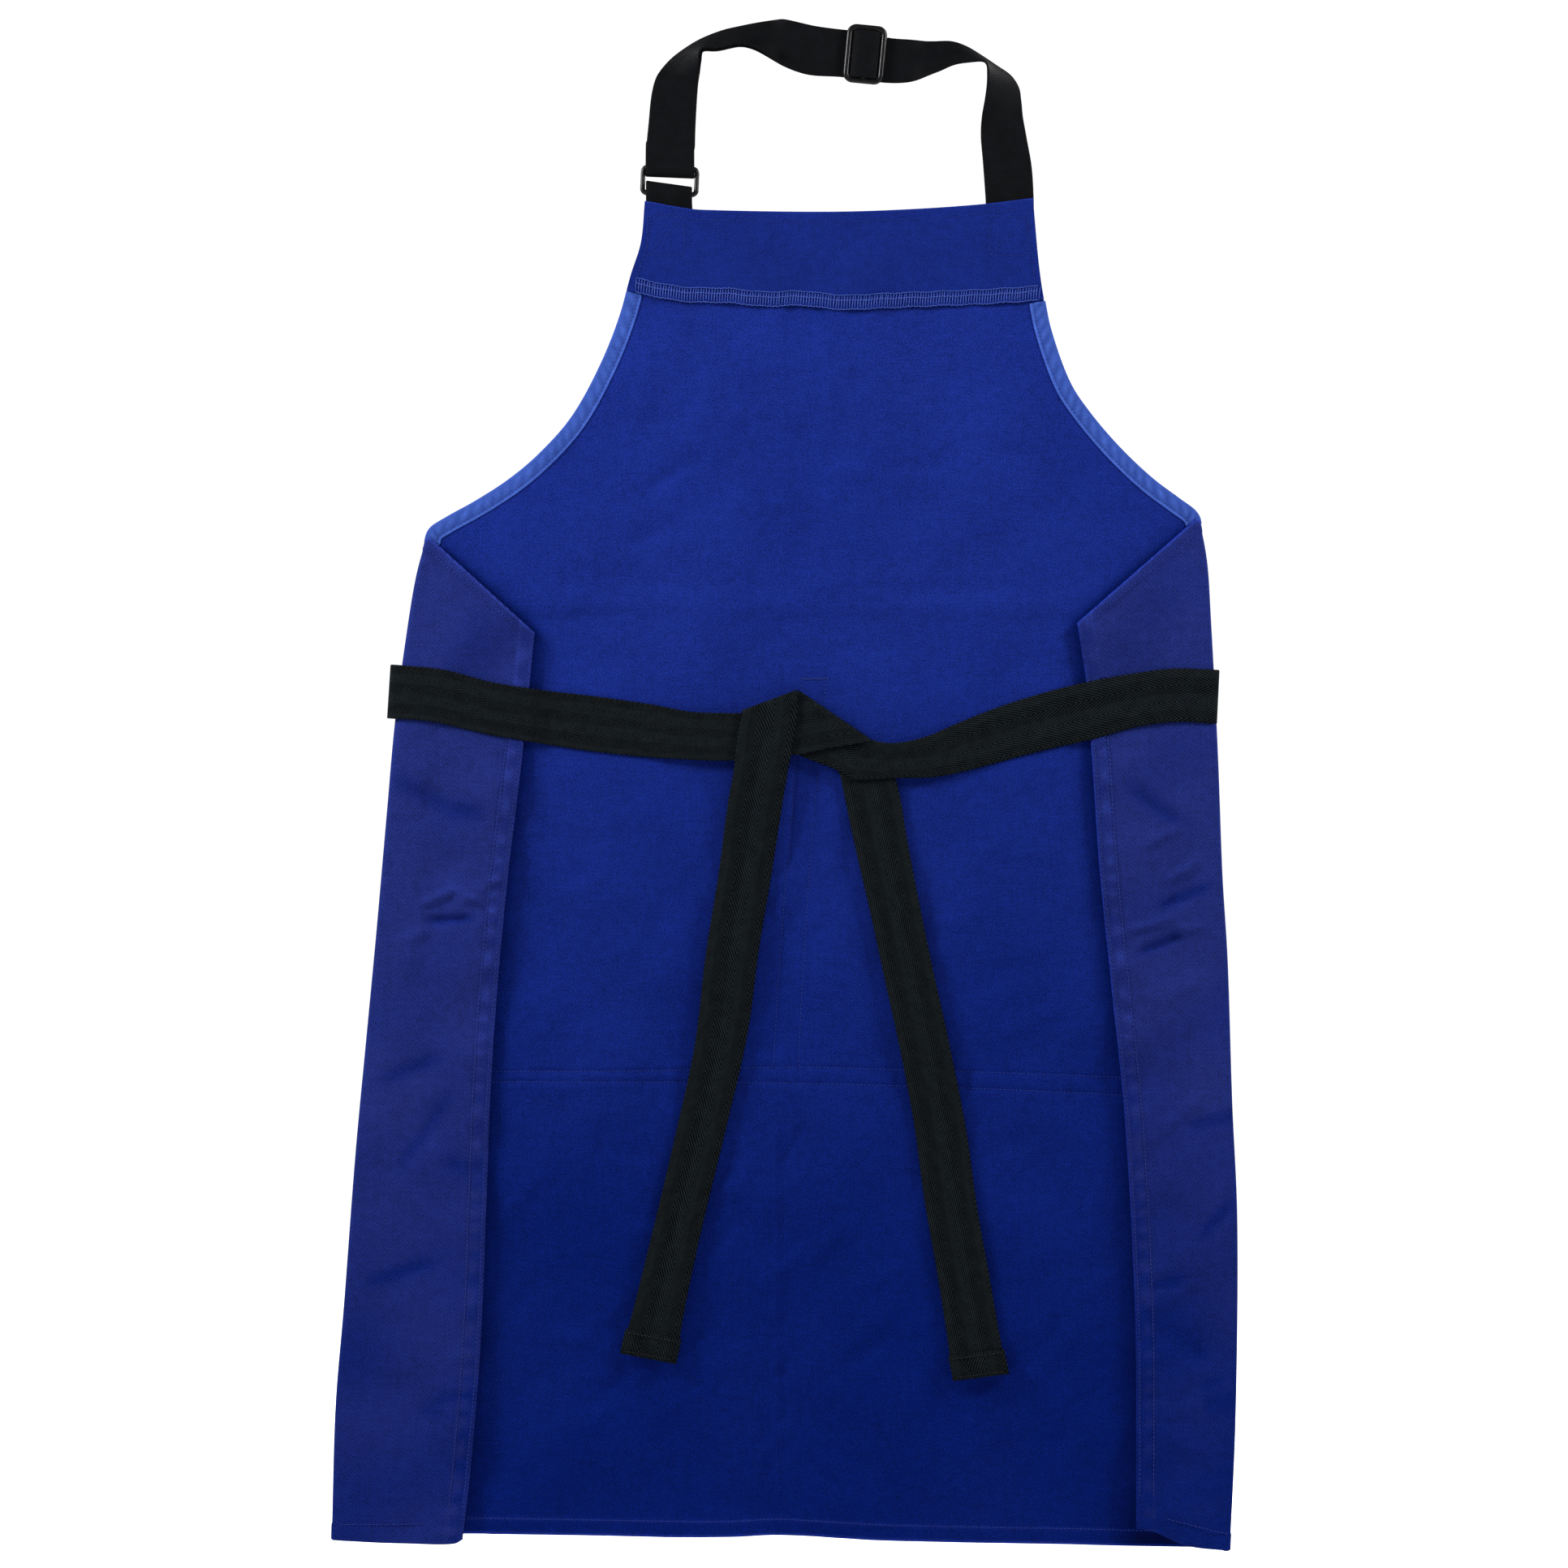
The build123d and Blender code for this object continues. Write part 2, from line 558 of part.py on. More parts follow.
with BuildPart() as slider_frame:
    slot_width = (SLIDER_LENGTH - 2 * SLIDER_BAR - CENTRE_BAR) / 2
    with BuildSketch(slider_plane(SLIDER_BACK, side_on=False)):
        RectangleRounded(SLIDER_LENGTH, SLIDER_HEIGHT, SLIDER_CORNER)
        with GridLocations(slot_width + CENTRE_BAR, 1, 2, 1):
            RectangleRounded(slot_width, SLOT_HEIGHT, SLOT_CORNER, mode=Mode.SUBTRACT)
    extrude(amount=SLIDER_THICKNESS)
    for side in (0, -1):
        fillet(slider_frame.faces().sort_by(Axis.Y)[side].outer_wire().edges(), radius=SLIDER_EDGE)
write(slider_frame, "slider_frame")

with BuildPart() as slider_webbing:
    crest = SLIDER_BACK - SLIDER_THICKNESS - SLIDER_STRAP_GAP
    reach = CENTRE_BAR / 2 + slot_width - HUMP_SIDE_GAP
    foot = SLIDER_BACK - HUMP_FOOT_GAP
    outer, inner = HUMP_CREST
    with BuildSketch(slider_plane(0, side_on=True)):
        with BuildLine():
            Polyline(
                (-reach, foot), (-outer, crest - WEBBING), (outer, crest - WEBBING), (reach, foot),
                (reach - HUMP_FOOT, foot), (inner, crest), (-inner, crest), (HUMP_FOOT - reach, foot),
                close=True,
            )
        make_face()
    extrude(amount=WEBBING_WIDTH / 2, both=True)
write(slider_webbing, "slider_webbing")
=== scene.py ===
"""Looks of the folded welding apron: cloth, tape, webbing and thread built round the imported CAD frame.

Shapes are worked out in millimetres, in the CAD frame: X across, +Z up, the worn side facing -Y.
"""

import math

import bpy
import numpy as np
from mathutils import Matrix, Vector


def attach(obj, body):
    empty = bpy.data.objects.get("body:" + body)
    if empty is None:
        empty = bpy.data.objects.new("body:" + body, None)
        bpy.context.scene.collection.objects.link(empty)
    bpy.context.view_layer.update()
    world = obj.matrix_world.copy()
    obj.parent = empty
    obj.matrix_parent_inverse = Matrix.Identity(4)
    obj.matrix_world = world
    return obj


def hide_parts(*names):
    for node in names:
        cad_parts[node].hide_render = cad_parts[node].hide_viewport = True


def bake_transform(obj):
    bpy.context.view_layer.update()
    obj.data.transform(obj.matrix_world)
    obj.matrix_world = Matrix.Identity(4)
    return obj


MM = 0.001
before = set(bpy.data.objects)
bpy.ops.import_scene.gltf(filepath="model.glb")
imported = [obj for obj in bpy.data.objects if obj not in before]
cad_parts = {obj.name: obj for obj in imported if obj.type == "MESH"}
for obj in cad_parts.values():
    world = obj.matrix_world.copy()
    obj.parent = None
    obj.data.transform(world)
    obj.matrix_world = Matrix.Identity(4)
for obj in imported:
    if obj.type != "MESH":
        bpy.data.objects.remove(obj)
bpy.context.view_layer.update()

# ---- sizes shared with the CAD ----
CLOTH = 0.8
HEM_CLOTH = 1.7         # a turned hem is two layers
HEM_GROWTH = HEM_CLOTH - CLOTH
LINING = 0.6
TAPE = 1.0
TAPE_WIDTH = 34.0
WEBBING = 1.3
WEBBING_WIDTH = 30.0
FOLD_RADIUS = 3.0
WING_Y = -2 * FOLD_RADIUS
STITCH = 2.6            # from one stitch to the next
NECK_AXIS = 877.0       # the neck loop tips about this height
STRAP_Y = 1.7

# ---- outlines, as (X, Z) points ----
BIB_TOP = [(-89.8, 872), (-59.9, 866.8), (-45, 866), (44, 865.2), (122.9, 869.4), (160.7, 873.8)]
LEFT_ARMHOLE = [
    (-232, 651.5), (-231, 656), (-228.4, 660.5), (-217.9, 667.3), (-199, 677.8), (-178, 691.4),
    (-159.1, 707.2), (-137.6, 731.3), (-117.6, 767.6), (-105.5, 798.5), (-98.7, 823.7), (-92.4, 844.7),
    (-89.8, 872),
]
RIGHT_ARMHOLE = [
    (269.3, 663.5), (268.6, 667), (265.7, 671.5), (255.2, 679.4), (237.8, 692.5), (216.8, 712.4),
    (197.4, 735), (184.8, 753.9), (172.2, 789), (168, 809), (164.9, 829), (160.7, 873.8),
]
LEFT_FOLD = [
    (-292.4, 7.4), (-289.8, 94.5), (-284.6, 157), (-276.7, 260), (-269.9, 332), (-263.6, 398.5),
    (-256.7, 477), (-251.5, 535), (-244.7, 587.5), (-237.8, 629.5), (-231.5, 653),
]
RIGHT_FOLD = [
    (288.2, 0.5), (291.9, 84.5), (293, 215), (289.8, 288), (286.7, 383), (283.5, 435), (280.4, 516.6),
    (276.2, 597.5), (273.5, 639), (268.8, 665),
]
LEFT_EDGE = [
    (-207.9, 8), (-202.7, 55.7), (-196.9, 128), (-193.2, 214.7), (-190.6, 288), (-186.4, 356.5),
    (-179, 435), (-169.6, 514), (-165.9, 550.7), (-161.7, 592.7),
]
RIGHT_EDGE = [
    (227.3, 16.8), (227.9, 128), (224.7, 214.7), (220, 288), (212.6, 360), (204.2, 443.6), (199, 519),
    (195.8, 560.7), (190, 599),
]
PANEL_HEM = [(-289, 8.4), (-207.9, 11), (-35, 8.4), (-3, 10), (70, 6.3), (212, 3.2), (285, 2)]
LEFT_WING_HEM = [(-292.4, 7.4), (-255, 5.8), (-212, 5.8), (-207.9, 8)]
RIGHT_WING_HEM = [(227.3, 16.8), (238.4, 14.2), (254, 6.3), (264.6, 3.2), (288.2, 0.5)]
POCKET_ROW_UPPER = [(-192, 309), (-90, 309.5), (0, 311.8), (100, 309.5), (225, 305)]
POCKET_ROW_LOWER = [(-192, 302.5), (-90, 302.3), (0, 301.5), (100, 299), (225, 293.5)]
DIVIDER_LEFT = [(-6.8, 312), (-3.7, 369), (-1, 406), (4.2, 465), (11.6, 564)]
DIVIDER_RIGHT = [(9.5, 312), (11, 350), (14.2, 406), (19.4, 477), (27.3, 564)]
FACING_EDGE = [(-101, 815), (-60, 808.5), (0, 805.5), (60, 803.5), (110, 806.5), (168.5, 809.5)]


# ---- shape helpers ----
def ease(t):
    """0 below 0, 1 above 1, and a smooth step between."""
    t = np.clip(t, 0.0, 1.0)
    return t * t * (3 - 2 * t)


def bell(distance, width):
    """1 at no distance, fading to 0 a few widths away."""
    return np.exp(-((distance / width) ** 2))


def unit(vectors):
    """Vectors scaled to length 1."""
    return vectors / np.maximum(np.linalg.norm(vectors, axis=-1, keepdims=True), 1e-9)


def xyz(x, y, z):
    """Points from three arrays or single values."""
    return np.stack(np.broadcast_arrays(x, y, z), -1).astype(float)


def run_along(path):
    """Distance travelled at each point of a path."""
    return np.concatenate([[0], np.cumsum(np.linalg.norm(np.diff(path, axis=0), axis=1))])


def within(value, low, high, soft):
    """1 between low and high, fading to 0 over a soft distance inside each."""
    return ease((value - low) / soft) * ease((high - value) / soft)


def hemmed(distance):
    """1 on a turned hem, 0 on single cloth, by the distance from the edge."""
    return 1 - ease((distance - 9.3) / 1.2)


def sample(path, run, at):
    """Points of a path at given distances, where run is the distance of each of its own points."""
    return np.stack([np.interp(at, run, values) for values in path.T], 1)


def curve(points, count):
    """Evenly spaced points along a smooth curve through the given points."""
    p = np.array(points, float)
    knot = np.concatenate([[0], np.cumsum(np.linalg.norm(np.diff(p, axis=0), axis=1) ** 0.5 + 1e-9)])
    slope = np.gradient(p, knot, axis=0)
    dense = []
    for i in range(len(p) - 1):
        t = np.linspace(0, 1, 25)[:-1, None]
        span = knot[i + 1] - knot[i]
        dense.append(
            (2 * t**3 - 3 * t**2 + 1) * p[i]
            + (t**3 - 2 * t**2 + t) * span * slope[i]
            + (3 * t**2 - 2 * t**3) * p[i + 1]
            + (t**3 - t**2) * span * slope[i + 1]
        )
    dense = np.vstack(dense + [p[-1:]])
    run = run_along(dense)
    return sample(dense, run, np.linspace(0, run[-1], count))


def outline(points, by):
    """A smooth outline as a function: by "z" it gives x for a height, by "x" it gives z for a width."""
    c = curve(points, 500)
    key, value = (c[:, 1], c[:, 0]) if by == "z" else (c[:, 0], c[:, 1])
    order = np.argsort(key)
    return lambda q: np.interp(q, key[order], value[order])


def spaced(length, step, fine_start=True, fine_end=True):
    """Positions from 0 to length, closer together near a hemmed end."""
    fine = np.array([0, 0.5, 1.2, 2.5, 4, 6, 8, 9.2, 10, 11, 13, 16])
    start = fine if fine_start else fine[:1]
    end = fine if fine_end else fine[:1]
    count = max(2, int(round((length - start[-1] - end[-1]) / step)))
    middle = np.linspace(start[-1], length - end[-1], count + 1)
    return np.concatenate([start[:-1], middle, length - end[:-1][::-1]])


def finer(positions, low, high, step):
    """Adds closer positions between low and high."""
    outside = positions[(positions < low - step) | (positions > high + step)]
    return np.sort(np.concatenate([outside, np.arange(low, high + step / 2, step)]))


def ripples(seed, wavelength, lean=None):
    """A smooth, repeatable rumpled surface of height about 1: a sum of waves in several directions."""
    rng = np.random.default_rng(seed)
    waves = []
    for _ in range(9):
        turn = rng.uniform(0, math.pi) if lean is None else lean + rng.normal(0, 0.25)
        size = 2 * math.pi / (wavelength * rng.uniform(0.7, 1.5))
        waves.append((size * math.cos(turn), size * math.sin(turn), rng.uniform(0, 2 * math.pi)))
    return lambda x, z: sum(np.sin(a * x + b * z + c) for a, b, c in waves) / 3.0


def crease(x, z, ax, az, bx, bz, width, depth):
    """A soft ridge along a line, fading out at both ends."""
    dx, dz = bx - ax, bz - az
    length = math.hypot(dx, dz)
    along = ((x - ax) * dx + (z - az) * dz) / length
    aside = ((x - ax) * dz - (z - az) * dx) / length
    run_out = min(0.35 * length, 30.0)
    return depth * within(along, 0.0, length, run_out) * bell(aside, width)


def creased(lines, x, z):
    """Depth of many soft ridges together."""
    return sum(crease(x, z, *line) for line in lines)


def distance_in(hinge, x, z, inward):
    """Distance from a hinge line towards the middle of the apron."""
    (ax, az), (bx, bz) = hinge
    length = math.hypot(bx - ax, bz - az)
    return inward * ((x - ax) * (bz - az) - (z - az) * (bx - ax)) / length


left_fold_x = outline(LEFT_FOLD, "z")
right_fold_x = outline(RIGHT_FOLD, "z")
left_edge_x = outline(LEFT_EDGE, "z")
right_edge_x = outline(RIGHT_EDGE, "z")
left_armhole_x = outline(LEFT_ARMHOLE, "z")
right_armhole_x = outline(RIGHT_ARMHOLE, "z")
bib_top_z = outline(BIB_TOP, "x")
panel_hem_z = outline(PANEL_HEM, "x")
facing_edge_z = outline(FACING_EDGE, "x")
pocket_row_upper_z = outline(POCKET_ROW_UPPER, "x")
pocket_row_lower_z = outline(POCKET_ROW_LOWER, "x")
divider_left_x = outline(DIVIDER_LEFT, "z")
divider_right_x = outline(DIVIDER_RIGHT, "z")

# ---- how the cloth lies: depth of its middle layer, as a function of (x, z) ----
broad = ripples(4, 190.0)
small = ripples(9, 58.0)
tiny = ripples(15, 19.0)
wing_rumple = ripples(21, 52.0)
# (start x, z, end x, z, width, depth); a negative depth stands towards the viewer
PANEL_CREASES = [
    (-205, 612, 190, 609, 6, -1.3), (-200, 600, -120, 603, 3.5, 0.8), (40, 618, 170, 622, 5, 0.8),
    (-185, 598, -90, 604, 4, 0.7), (-150, 622, -60, 617, 4, -0.6), (-6, 296, -4, 16, 2.4, -1.7),
    (-3, 860, 2, 640, 3, -0.8), (-190, 455, -60, 463, 5, 0.6), (40, 440, 190, 452, 5, -0.6),
    (95, 350, 190, 392, 6, 0.7), (-150, 170, -30, 120, 9, -0.8), (60, 215, 180, 150, 9, 0.8),
    (-110, 720, 10, 760, 9, 0.7), (60, 705, 150, 730, 8, -0.7), (7, 64, 45, 32, 4, 1.8),
    (145, 20, 195, 95, 5, 1.8), (-186, 208, -150, 252, 5, -1.6), (-120, 95, -90, 122, 4, 1.3),
    (-14, 190, -12, 60, 5, 1.3), (-60, 800, -52, 735, 4.5, 1.2), (20, 800, 36, 725, 4.5, -1.2),
    (75, 800, 84, 740, 4.5, 1.1), (-40, 862, -30, 815, 4.5, 0.9), (62, 862, 54, 812, 4.5, -0.9),
]


def strewn_creases(seed, count, x_range, z_range, slant):
    """Small soft wrinkles strewn over an area, mostly slanting the given way."""
    rng = np.random.default_rng(seed)
    made = []
    for _ in range(count):
        start_x, start_z = rng.uniform(*x_range), rng.uniform(*z_range)
        angle = rng.normal(slant, 0.45)
        length = rng.uniform(26.0, 75.0)
        end_x, end_z = start_x + length * math.cos(angle), start_z + length * math.sin(angle)
        width, depth = rng.uniform(3.6, 6.5), rng.choice([-1, 1]) * rng.uniform(0.7, 1.6)
        made.append((start_x, start_z, end_x, end_z, width, depth))
    return made


PANEL_CREASES += strewn_creases(31, 34, (-200.0, 0.0), (20.0, 300.0), 0.65)
PANEL_CREASES += strewn_creases(32, 26, (-20.0, 190.0), (20.0, 300.0), 0.9)
PANEL_CREASES += strewn_creases(33, 16, (-170.0, 170.0), (320.0, 500.0), 0.3)
PANEL_CREASES += strewn_creases(34, 14, (-180.0, 170.0), (580.0, 760.0), 0.2)
LEFT_WING_CREASES = [
    (-238, 415, -210, 429, 2.1, -3.4), (-216, 429, -192, 416, 2.1, -3.4), (-236, 406, -196, 409, 3, 3),
    (-252, 392, -226, 402, 4, -2), (-270, 300, -215, 322, 5, 1.7), (-262, 505, -200, 470, 6, 1.5),
    (-275, 250, -205, 200, 6, -1.7), (-280, 170, -215, 190, 5, 1.5),
]
LEFT_WING_CREASES += strewn_creases(35, 12, (-275, -215), (20, 500), 0.4)
RIGHT_WING_CREASES = [
    (216, 398, 256, 410, 2.4, -3.4), (224, 384, 266, 402, 3, 2.8), (244, 430, 283, 454, 3.2, -3.4),
    (238, 414, 281, 432, 3, 2.8), (250, 398, 283, 406, 3, -3), (225, 452, 262, 470, 4, -2.4),
    (222, 350, 282, 372, 5, -2.4), (215, 500, 268, 460, 5, 1.7), (228, 260, 284, 300, 6, -1.7),
    (236, 150, 284, 110, 6, 1.7), (238, 80, 282, 60, 5, -1.6),
]
RIGHT_WING_CREASES += strewn_creases(36, 14, (215, 270), (20, 360), 0.4)
WING_CREASES = {1: LEFT_WING_CREASES, -1: RIGHT_WING_CREASES}


def panel_y(x, z):
    """Middle of the body cloth between the folds."""
    clear = np.minimum(x - left_fold_x(z), right_fold_x(z) - x)
    free = ease((clear - 42.0) / 70.0) * ease((838.0 - z) / 60.0)
    y = 1.3 * broad(x, z) + 0.75 * small(x, z) + 0.2 * tiny(x, z) + creased(PANEL_CREASES, x, z)
    below_facing = facing_edge_z(x) - z
    gathers = np.sin(x / 3.4 + 1.2 * np.sin(x / 21.0)) * bell(below_facing, 24.0) * 0.5
    waist = 1.0 - 0.6 * bell(z - 530.0, 45.0)
    seams = 0.0
    for seam in (pocket_row_upper_z, pocket_row_lower_z):
        seams = seams + 0.8 * bell(z - seam(x), 1.5) * within(x, -196, 226, 4)
    for seam in (divider_left_x, divider_right_x):
        seams = seams + 0.6 * bell(x - seam(z), 1.5) * within(z, 300, 566, 4)
    between = bell(z - 0.5 * (pocket_row_upper_z(x) + pocket_row_lower_z(x)), 6.0)
    puckers = 0.45 * np.sin(x / 2.1 + 2 * np.sin(x / 15.0)) * between
    beside = bell(x - 0.5 * (divider_left_x(z) + divider_right_x(z)), 9.0)
    puckers = puckers + 0.30 * np.sin(z / 1.7 + 2 * np.sin(z / 13.0)) * beside * within(z, 312, 560, 9)
    highest = np.where(clear < 100.0, -1.3, -2.6)
    return free * (np.clip(y, highest, 2.2) * waist + gathers + puckers) + seams


def wing_y(x, z, inward):
    """Middle of a folded-in wing."""
    fold_x, edge_x = (left_fold_x, left_edge_x) if inward > 0 else (right_fold_x, right_edge_x)
    width = inward * (edge_x(z) - fold_x(z))
    u = np.clip(inward * (x - fold_x(z)) / width, 0.0, 1.0)
    y = 1.1 * wing_rumple(x + 40 * inward, z) + 0.2 * tiny(x, z) + creased(WING_CREASES[inward], x, z)
    y = y * ease((u - 0.05) / 0.3) * (1.0 - 0.8 * bell(z - 548.0, 30.0))
    settle = 2.2 * ease(u * 1.1) * bell(z - 545.0, 42.0)
    if inward > 0:
        flare = -1.6 * ease(u) * ease((300.0 - z) / 260.0)
    else:
        turned_out = 10.0 * u**1.5 * ease((110.0 - z) / 110.0) ** 1.4
        flare = -1.5 * ease(u) * ease((320.0 - z) / 280.0) - turned_out
    flare = flare - 2.4 * ease(u * 2.0) * ease((z - 575.0) / 45.0)
    return WING_Y + np.clip(np.clip(y, -4.2, 2.6) + settle, -4.2, 3.2) + flare


def on_wing(x, z):
    """+1 over the left wing, -1 over the right wing, 0 elsewhere."""
    left_top = np.interp(x, (-231.5, -161.7), (653.0, 592.7))
    right_top = np.interp(x, (190.0, 268.8), (599.0, 660.0))
    left = (x < left_edge_x(z)) & (z < left_top)
    right = (x > right_edge_x(z)) & (z < right_top)
    return np.where(left, 1, np.where(right, -1, 0))


def beside_wing(x, z):
    """How far a point of the panel lies outside both folded wings; negative under a wing."""
    left = distance_in((LEFT_FOLD[-1], LEFT_EDGE[-1]), x, z, -1)
    right = distance_in((RIGHT_EDGE[-1], RIGHT_FOLD[-1]), x, z, -1)
    left = np.maximum(x - left_edge_x(z), left)
    right = np.maximum(right_edge_x(z) - x, right)
    return np.minimum(left, right)


def top_of_cloth(x, z):
    """The visible face of whatever cloth lies uppermost on the worn side."""
    side = on_wing(x, z)
    y = panel_y(x, z) - CLOTH / 2
    y = np.where(side == 1, wing_y(x, z, 1) - CLOTH / 2, y)
    return np.where(side == -1, wing_y(x, z, -1) - CLOTH / 2, y)


# ---- mesh builders ----
def build(name, points, faces, weave=None, wear_and_shade=None):
    """Makes an object from points in millimetres, with the attributes its material reads."""
    mesh = bpy.data.meshes.new(name)
    mesh.from_pydata((np.asarray(points) * MM).tolist(), [], faces)
    mesh.update()
    mesh.shade_smooth()
    count = len(mesh.vertices)
    for title, kind, field, values in (
        ("weave", "FLOAT_VECTOR", "vector", np.zeros((count, 3)) if weave is None else weave),
        ("wear_and_shade", "FLOAT", "value", np.zeros(count) if wear_and_shade is None else wear_and_shade),
    ):
        layer = mesh.attributes.new(title, kind, "POINT")
        layer.data.foreach_set(field, values.astype(np.float32).ravel())
    made = bpy.data.objects.new(name, mesh)
    bpy.context.scene.collection.objects.link(made)
    return made


def sheet(name, mid, thickness, weave, wear_and_shade=None, butt=(), back_wear_and_shade=None):
    """A closed piece of cloth from a grid of middle points.

    A side named in butt ("first" or "last" column) meets another piece, so it is cut square.
    The back can take its own tone and wear values, given by the last argument; otherwise it takes the
    front's, painted shade included.
    """
    rows, cols = mid.shape[:2]
    normal = unit(np.cross(np.gradient(mid, axis=1), np.gradient(mid, axis=0)))
    half = np.broadcast_to(np.asarray(thickness, float) / 2, (rows, cols))
    front = (mid + normal * half[..., None]).reshape(-1, 3)
    back = (mid - normal * half[..., None]).reshape(-1, 3)
    index = np.arange(rows * cols).reshape(rows, cols)
    quads = np.stack([index[:-1, :-1], index[:-1, 1:], index[1:, 1:], index[1:, :-1]], -1).reshape(-1, 4)
    r, c = np.divmod(index, cols)
    ring = np.concatenate([index[0, :-1], index[:-1, -1], index[-1, :0:-1], index[:0:-1, 0]])
    inner_row = np.clip(r.ravel()[ring], 1, rows - 2)
    inner_col = np.clip(c.ravel()[ring], 1, cols - 2)
    flat = mid.reshape(-1, 3)
    outward = unit(flat[ring] - mid[inner_row, inner_col])
    reach = half.ravel()[ring] * 0.9
    ring_col = c.ravel()[ring]
    square = ((ring_col == 0) & ("first" in butt)) | ((ring_col == cols - 1) & ("last" in butt))
    reach = np.where(square, 0.0, reach)
    rim = flat[ring] + outward * reach[:, None]
    total = rows * cols
    f0, b0 = ring, ring + total
    rim_id = np.arange(len(ring)) + 2 * total
    f1, b1, rim1 = np.roll(f0, -1), np.roll(b0, -1), np.roll(rim_id, -1)
    faces = np.vstack([
        quads,
        quads[:, ::-1] + total,
        np.stack([f0, rim_id, rim1, f1], 1),
        np.stack([b0, b1, rim1, rim_id], 1),
    ])
    weave = np.concatenate([weave, np.zeros((rows, cols, 1))], 2).reshape(-1, 3)
    wear_and_shade = np.zeros((rows, cols)) if wear_and_shade is None else np.broadcast_to(wear_and_shade, (rows, cols))
    wear_and_shade = wear_and_shade.ravel()
    back_wear_and_shade = wear_and_shade if back_wear_and_shade is None else back_wear_and_shade.ravel()
    made = build(
        name,
        np.vstack([front, back, rim]),
        faces.tolist(),
        np.vstack([weave, weave, weave[ring]]),
        np.concatenate([wear_and_shade, back_wear_and_shade, wear_and_shade[ring]]),
    )
    # Faces of the back layer take the piece's second material, if it has one.
    layer = np.zeros(len(faces), np.int32)
    layer[len(quads):2 * len(quads)] = 1
    made.data.polygons.foreach_set("material_index", layer)
    if butt:
        cut = np.zeros(2 * total + len(ring), bool)
        for side, column in (("first", 0), ("last", cols - 1)):
            if side in butt:
                cut[index[:, column]] = True
                cut[index[:, column] + total] = True
        ends = np.zeros(len(made.data.edges) * 2, int)
        made.data.edges.foreach_get("vertices", ends)
        made.data.edges.foreach_set("use_edge_sharp", cut[ends.reshape(-1, 2)].all(1))
    return made


def ribbon(name, low, high, thickness, columns=11, crown=0.0):
    """A strip between two edges, given as matching points; its middle stands proud by crown."""
    t = 0.5 - 0.5 * np.cos(np.linspace(0, math.pi, columns))
    mid = low[:, None] * (1 - t)[None, :, None] + high[:, None] * t[None, :, None]
    centre = (low + high) / 2
    run = run_along(centre)
    width = np.linalg.norm(high - low, axis=1).max()
    weave = np.stack(np.broadcast_arrays(t[None, :] * width, run[:, None]), 2)
    if crown:
        mid[..., 1] -= crown * (1 - (2 * t - 1) ** 2)[None, :]
    return sheet(name, mid, thickness, weave)


def skin(stations, sides, closed=False, base=0):
    """Faces of a tube through rings of points, capped at both ends unless it closes on itself."""
    faces = []
    for i in range(stations if closed else stations - 1):
        here, there = base + i * sides, base + (i + 1) % stations * sides
        for k in range(sides):
            after = (k + 1) % sides
            faces.append((here + k, here + after, there + after, there + k))
    if not closed:
        faces.append(tuple(base + k for k in range(sides))[::-1])
        faces.append(tuple(base + (stations - 1) * sides + k for k in range(sides)))
    return faces


def tubes(name, paths, radius, sides=5):
    """Round threads along many paths, each tapering at its ends."""
    points, faces = [], []
    turn = np.linspace(0, 2 * math.pi, sides, endpoint=False)
    base = 0
    for path in paths:
        path = np.asarray(path, float)
        along = unit(np.gradient(path, axis=0))
        side = unit(np.cross(along, (0, 1, 0)))
        up = np.cross(side, along)
        size = np.full((len(path), 1, 1), radius)
        size[[0, -1]] *= 0.5
        ring = np.cos(turn)[:, None] * side[:, None] + np.sin(turn)[:, None] * up[:, None]
        points.append((path[:, None] + size * ring).reshape(-1, 3))
        faces += skin(len(path), sides, base=base)
        base += len(path) * sides
    return build(name, np.vstack(points), faces)


def stitches(path, side=-1, pitch=STITCH, rise=0.25, seed=1):
    """Paths of single stitches along a row that lies on a cloth face; side is the way they stand out."""
    path = np.asarray(path, float)
    rng = np.random.default_rng(seed)
    run = run_along(path)
    made = []
    for start in np.arange(0.2, run[-1] - pitch, pitch):
        length = pitch * rng.uniform(0.66, 0.76)
        at = start + np.array([0.0, 0.22, 0.5, 0.78, 1.0]) * length
        p = sample(path, run, at)
        p[:, 1] += side * rise * np.array([-0.9, 0.7, 1.0, 0.7, -0.9])
        p[0, 2] += rng.normal(0, 0.05)
        p[-1, 2] += rng.normal(0, 0.05)
        made.append(p)
    return made


def on_cloth(points, depth, count=None):
    """Follows a smooth line of (x, z) points over the cloth; depth gives the face's y."""
    flat = np.asarray(points, float)
    length = np.linalg.norm(np.diff(flat, axis=0), axis=1).sum()
    c = curve(points, count or max(8, int(length / 3)))
    return xyz(c[:, 0], depth(c[:, 0], c[:, 1]), c[:, 1])


def offset(points, distance):
    """A line of (x, z) points moved sideways, to the left of its direction."""
    c = curve(points, 120)
    d = unit(np.gradient(c, axis=0))
    return c + distance * np.stack([-d[:, 1], d[:, 0]], 1)


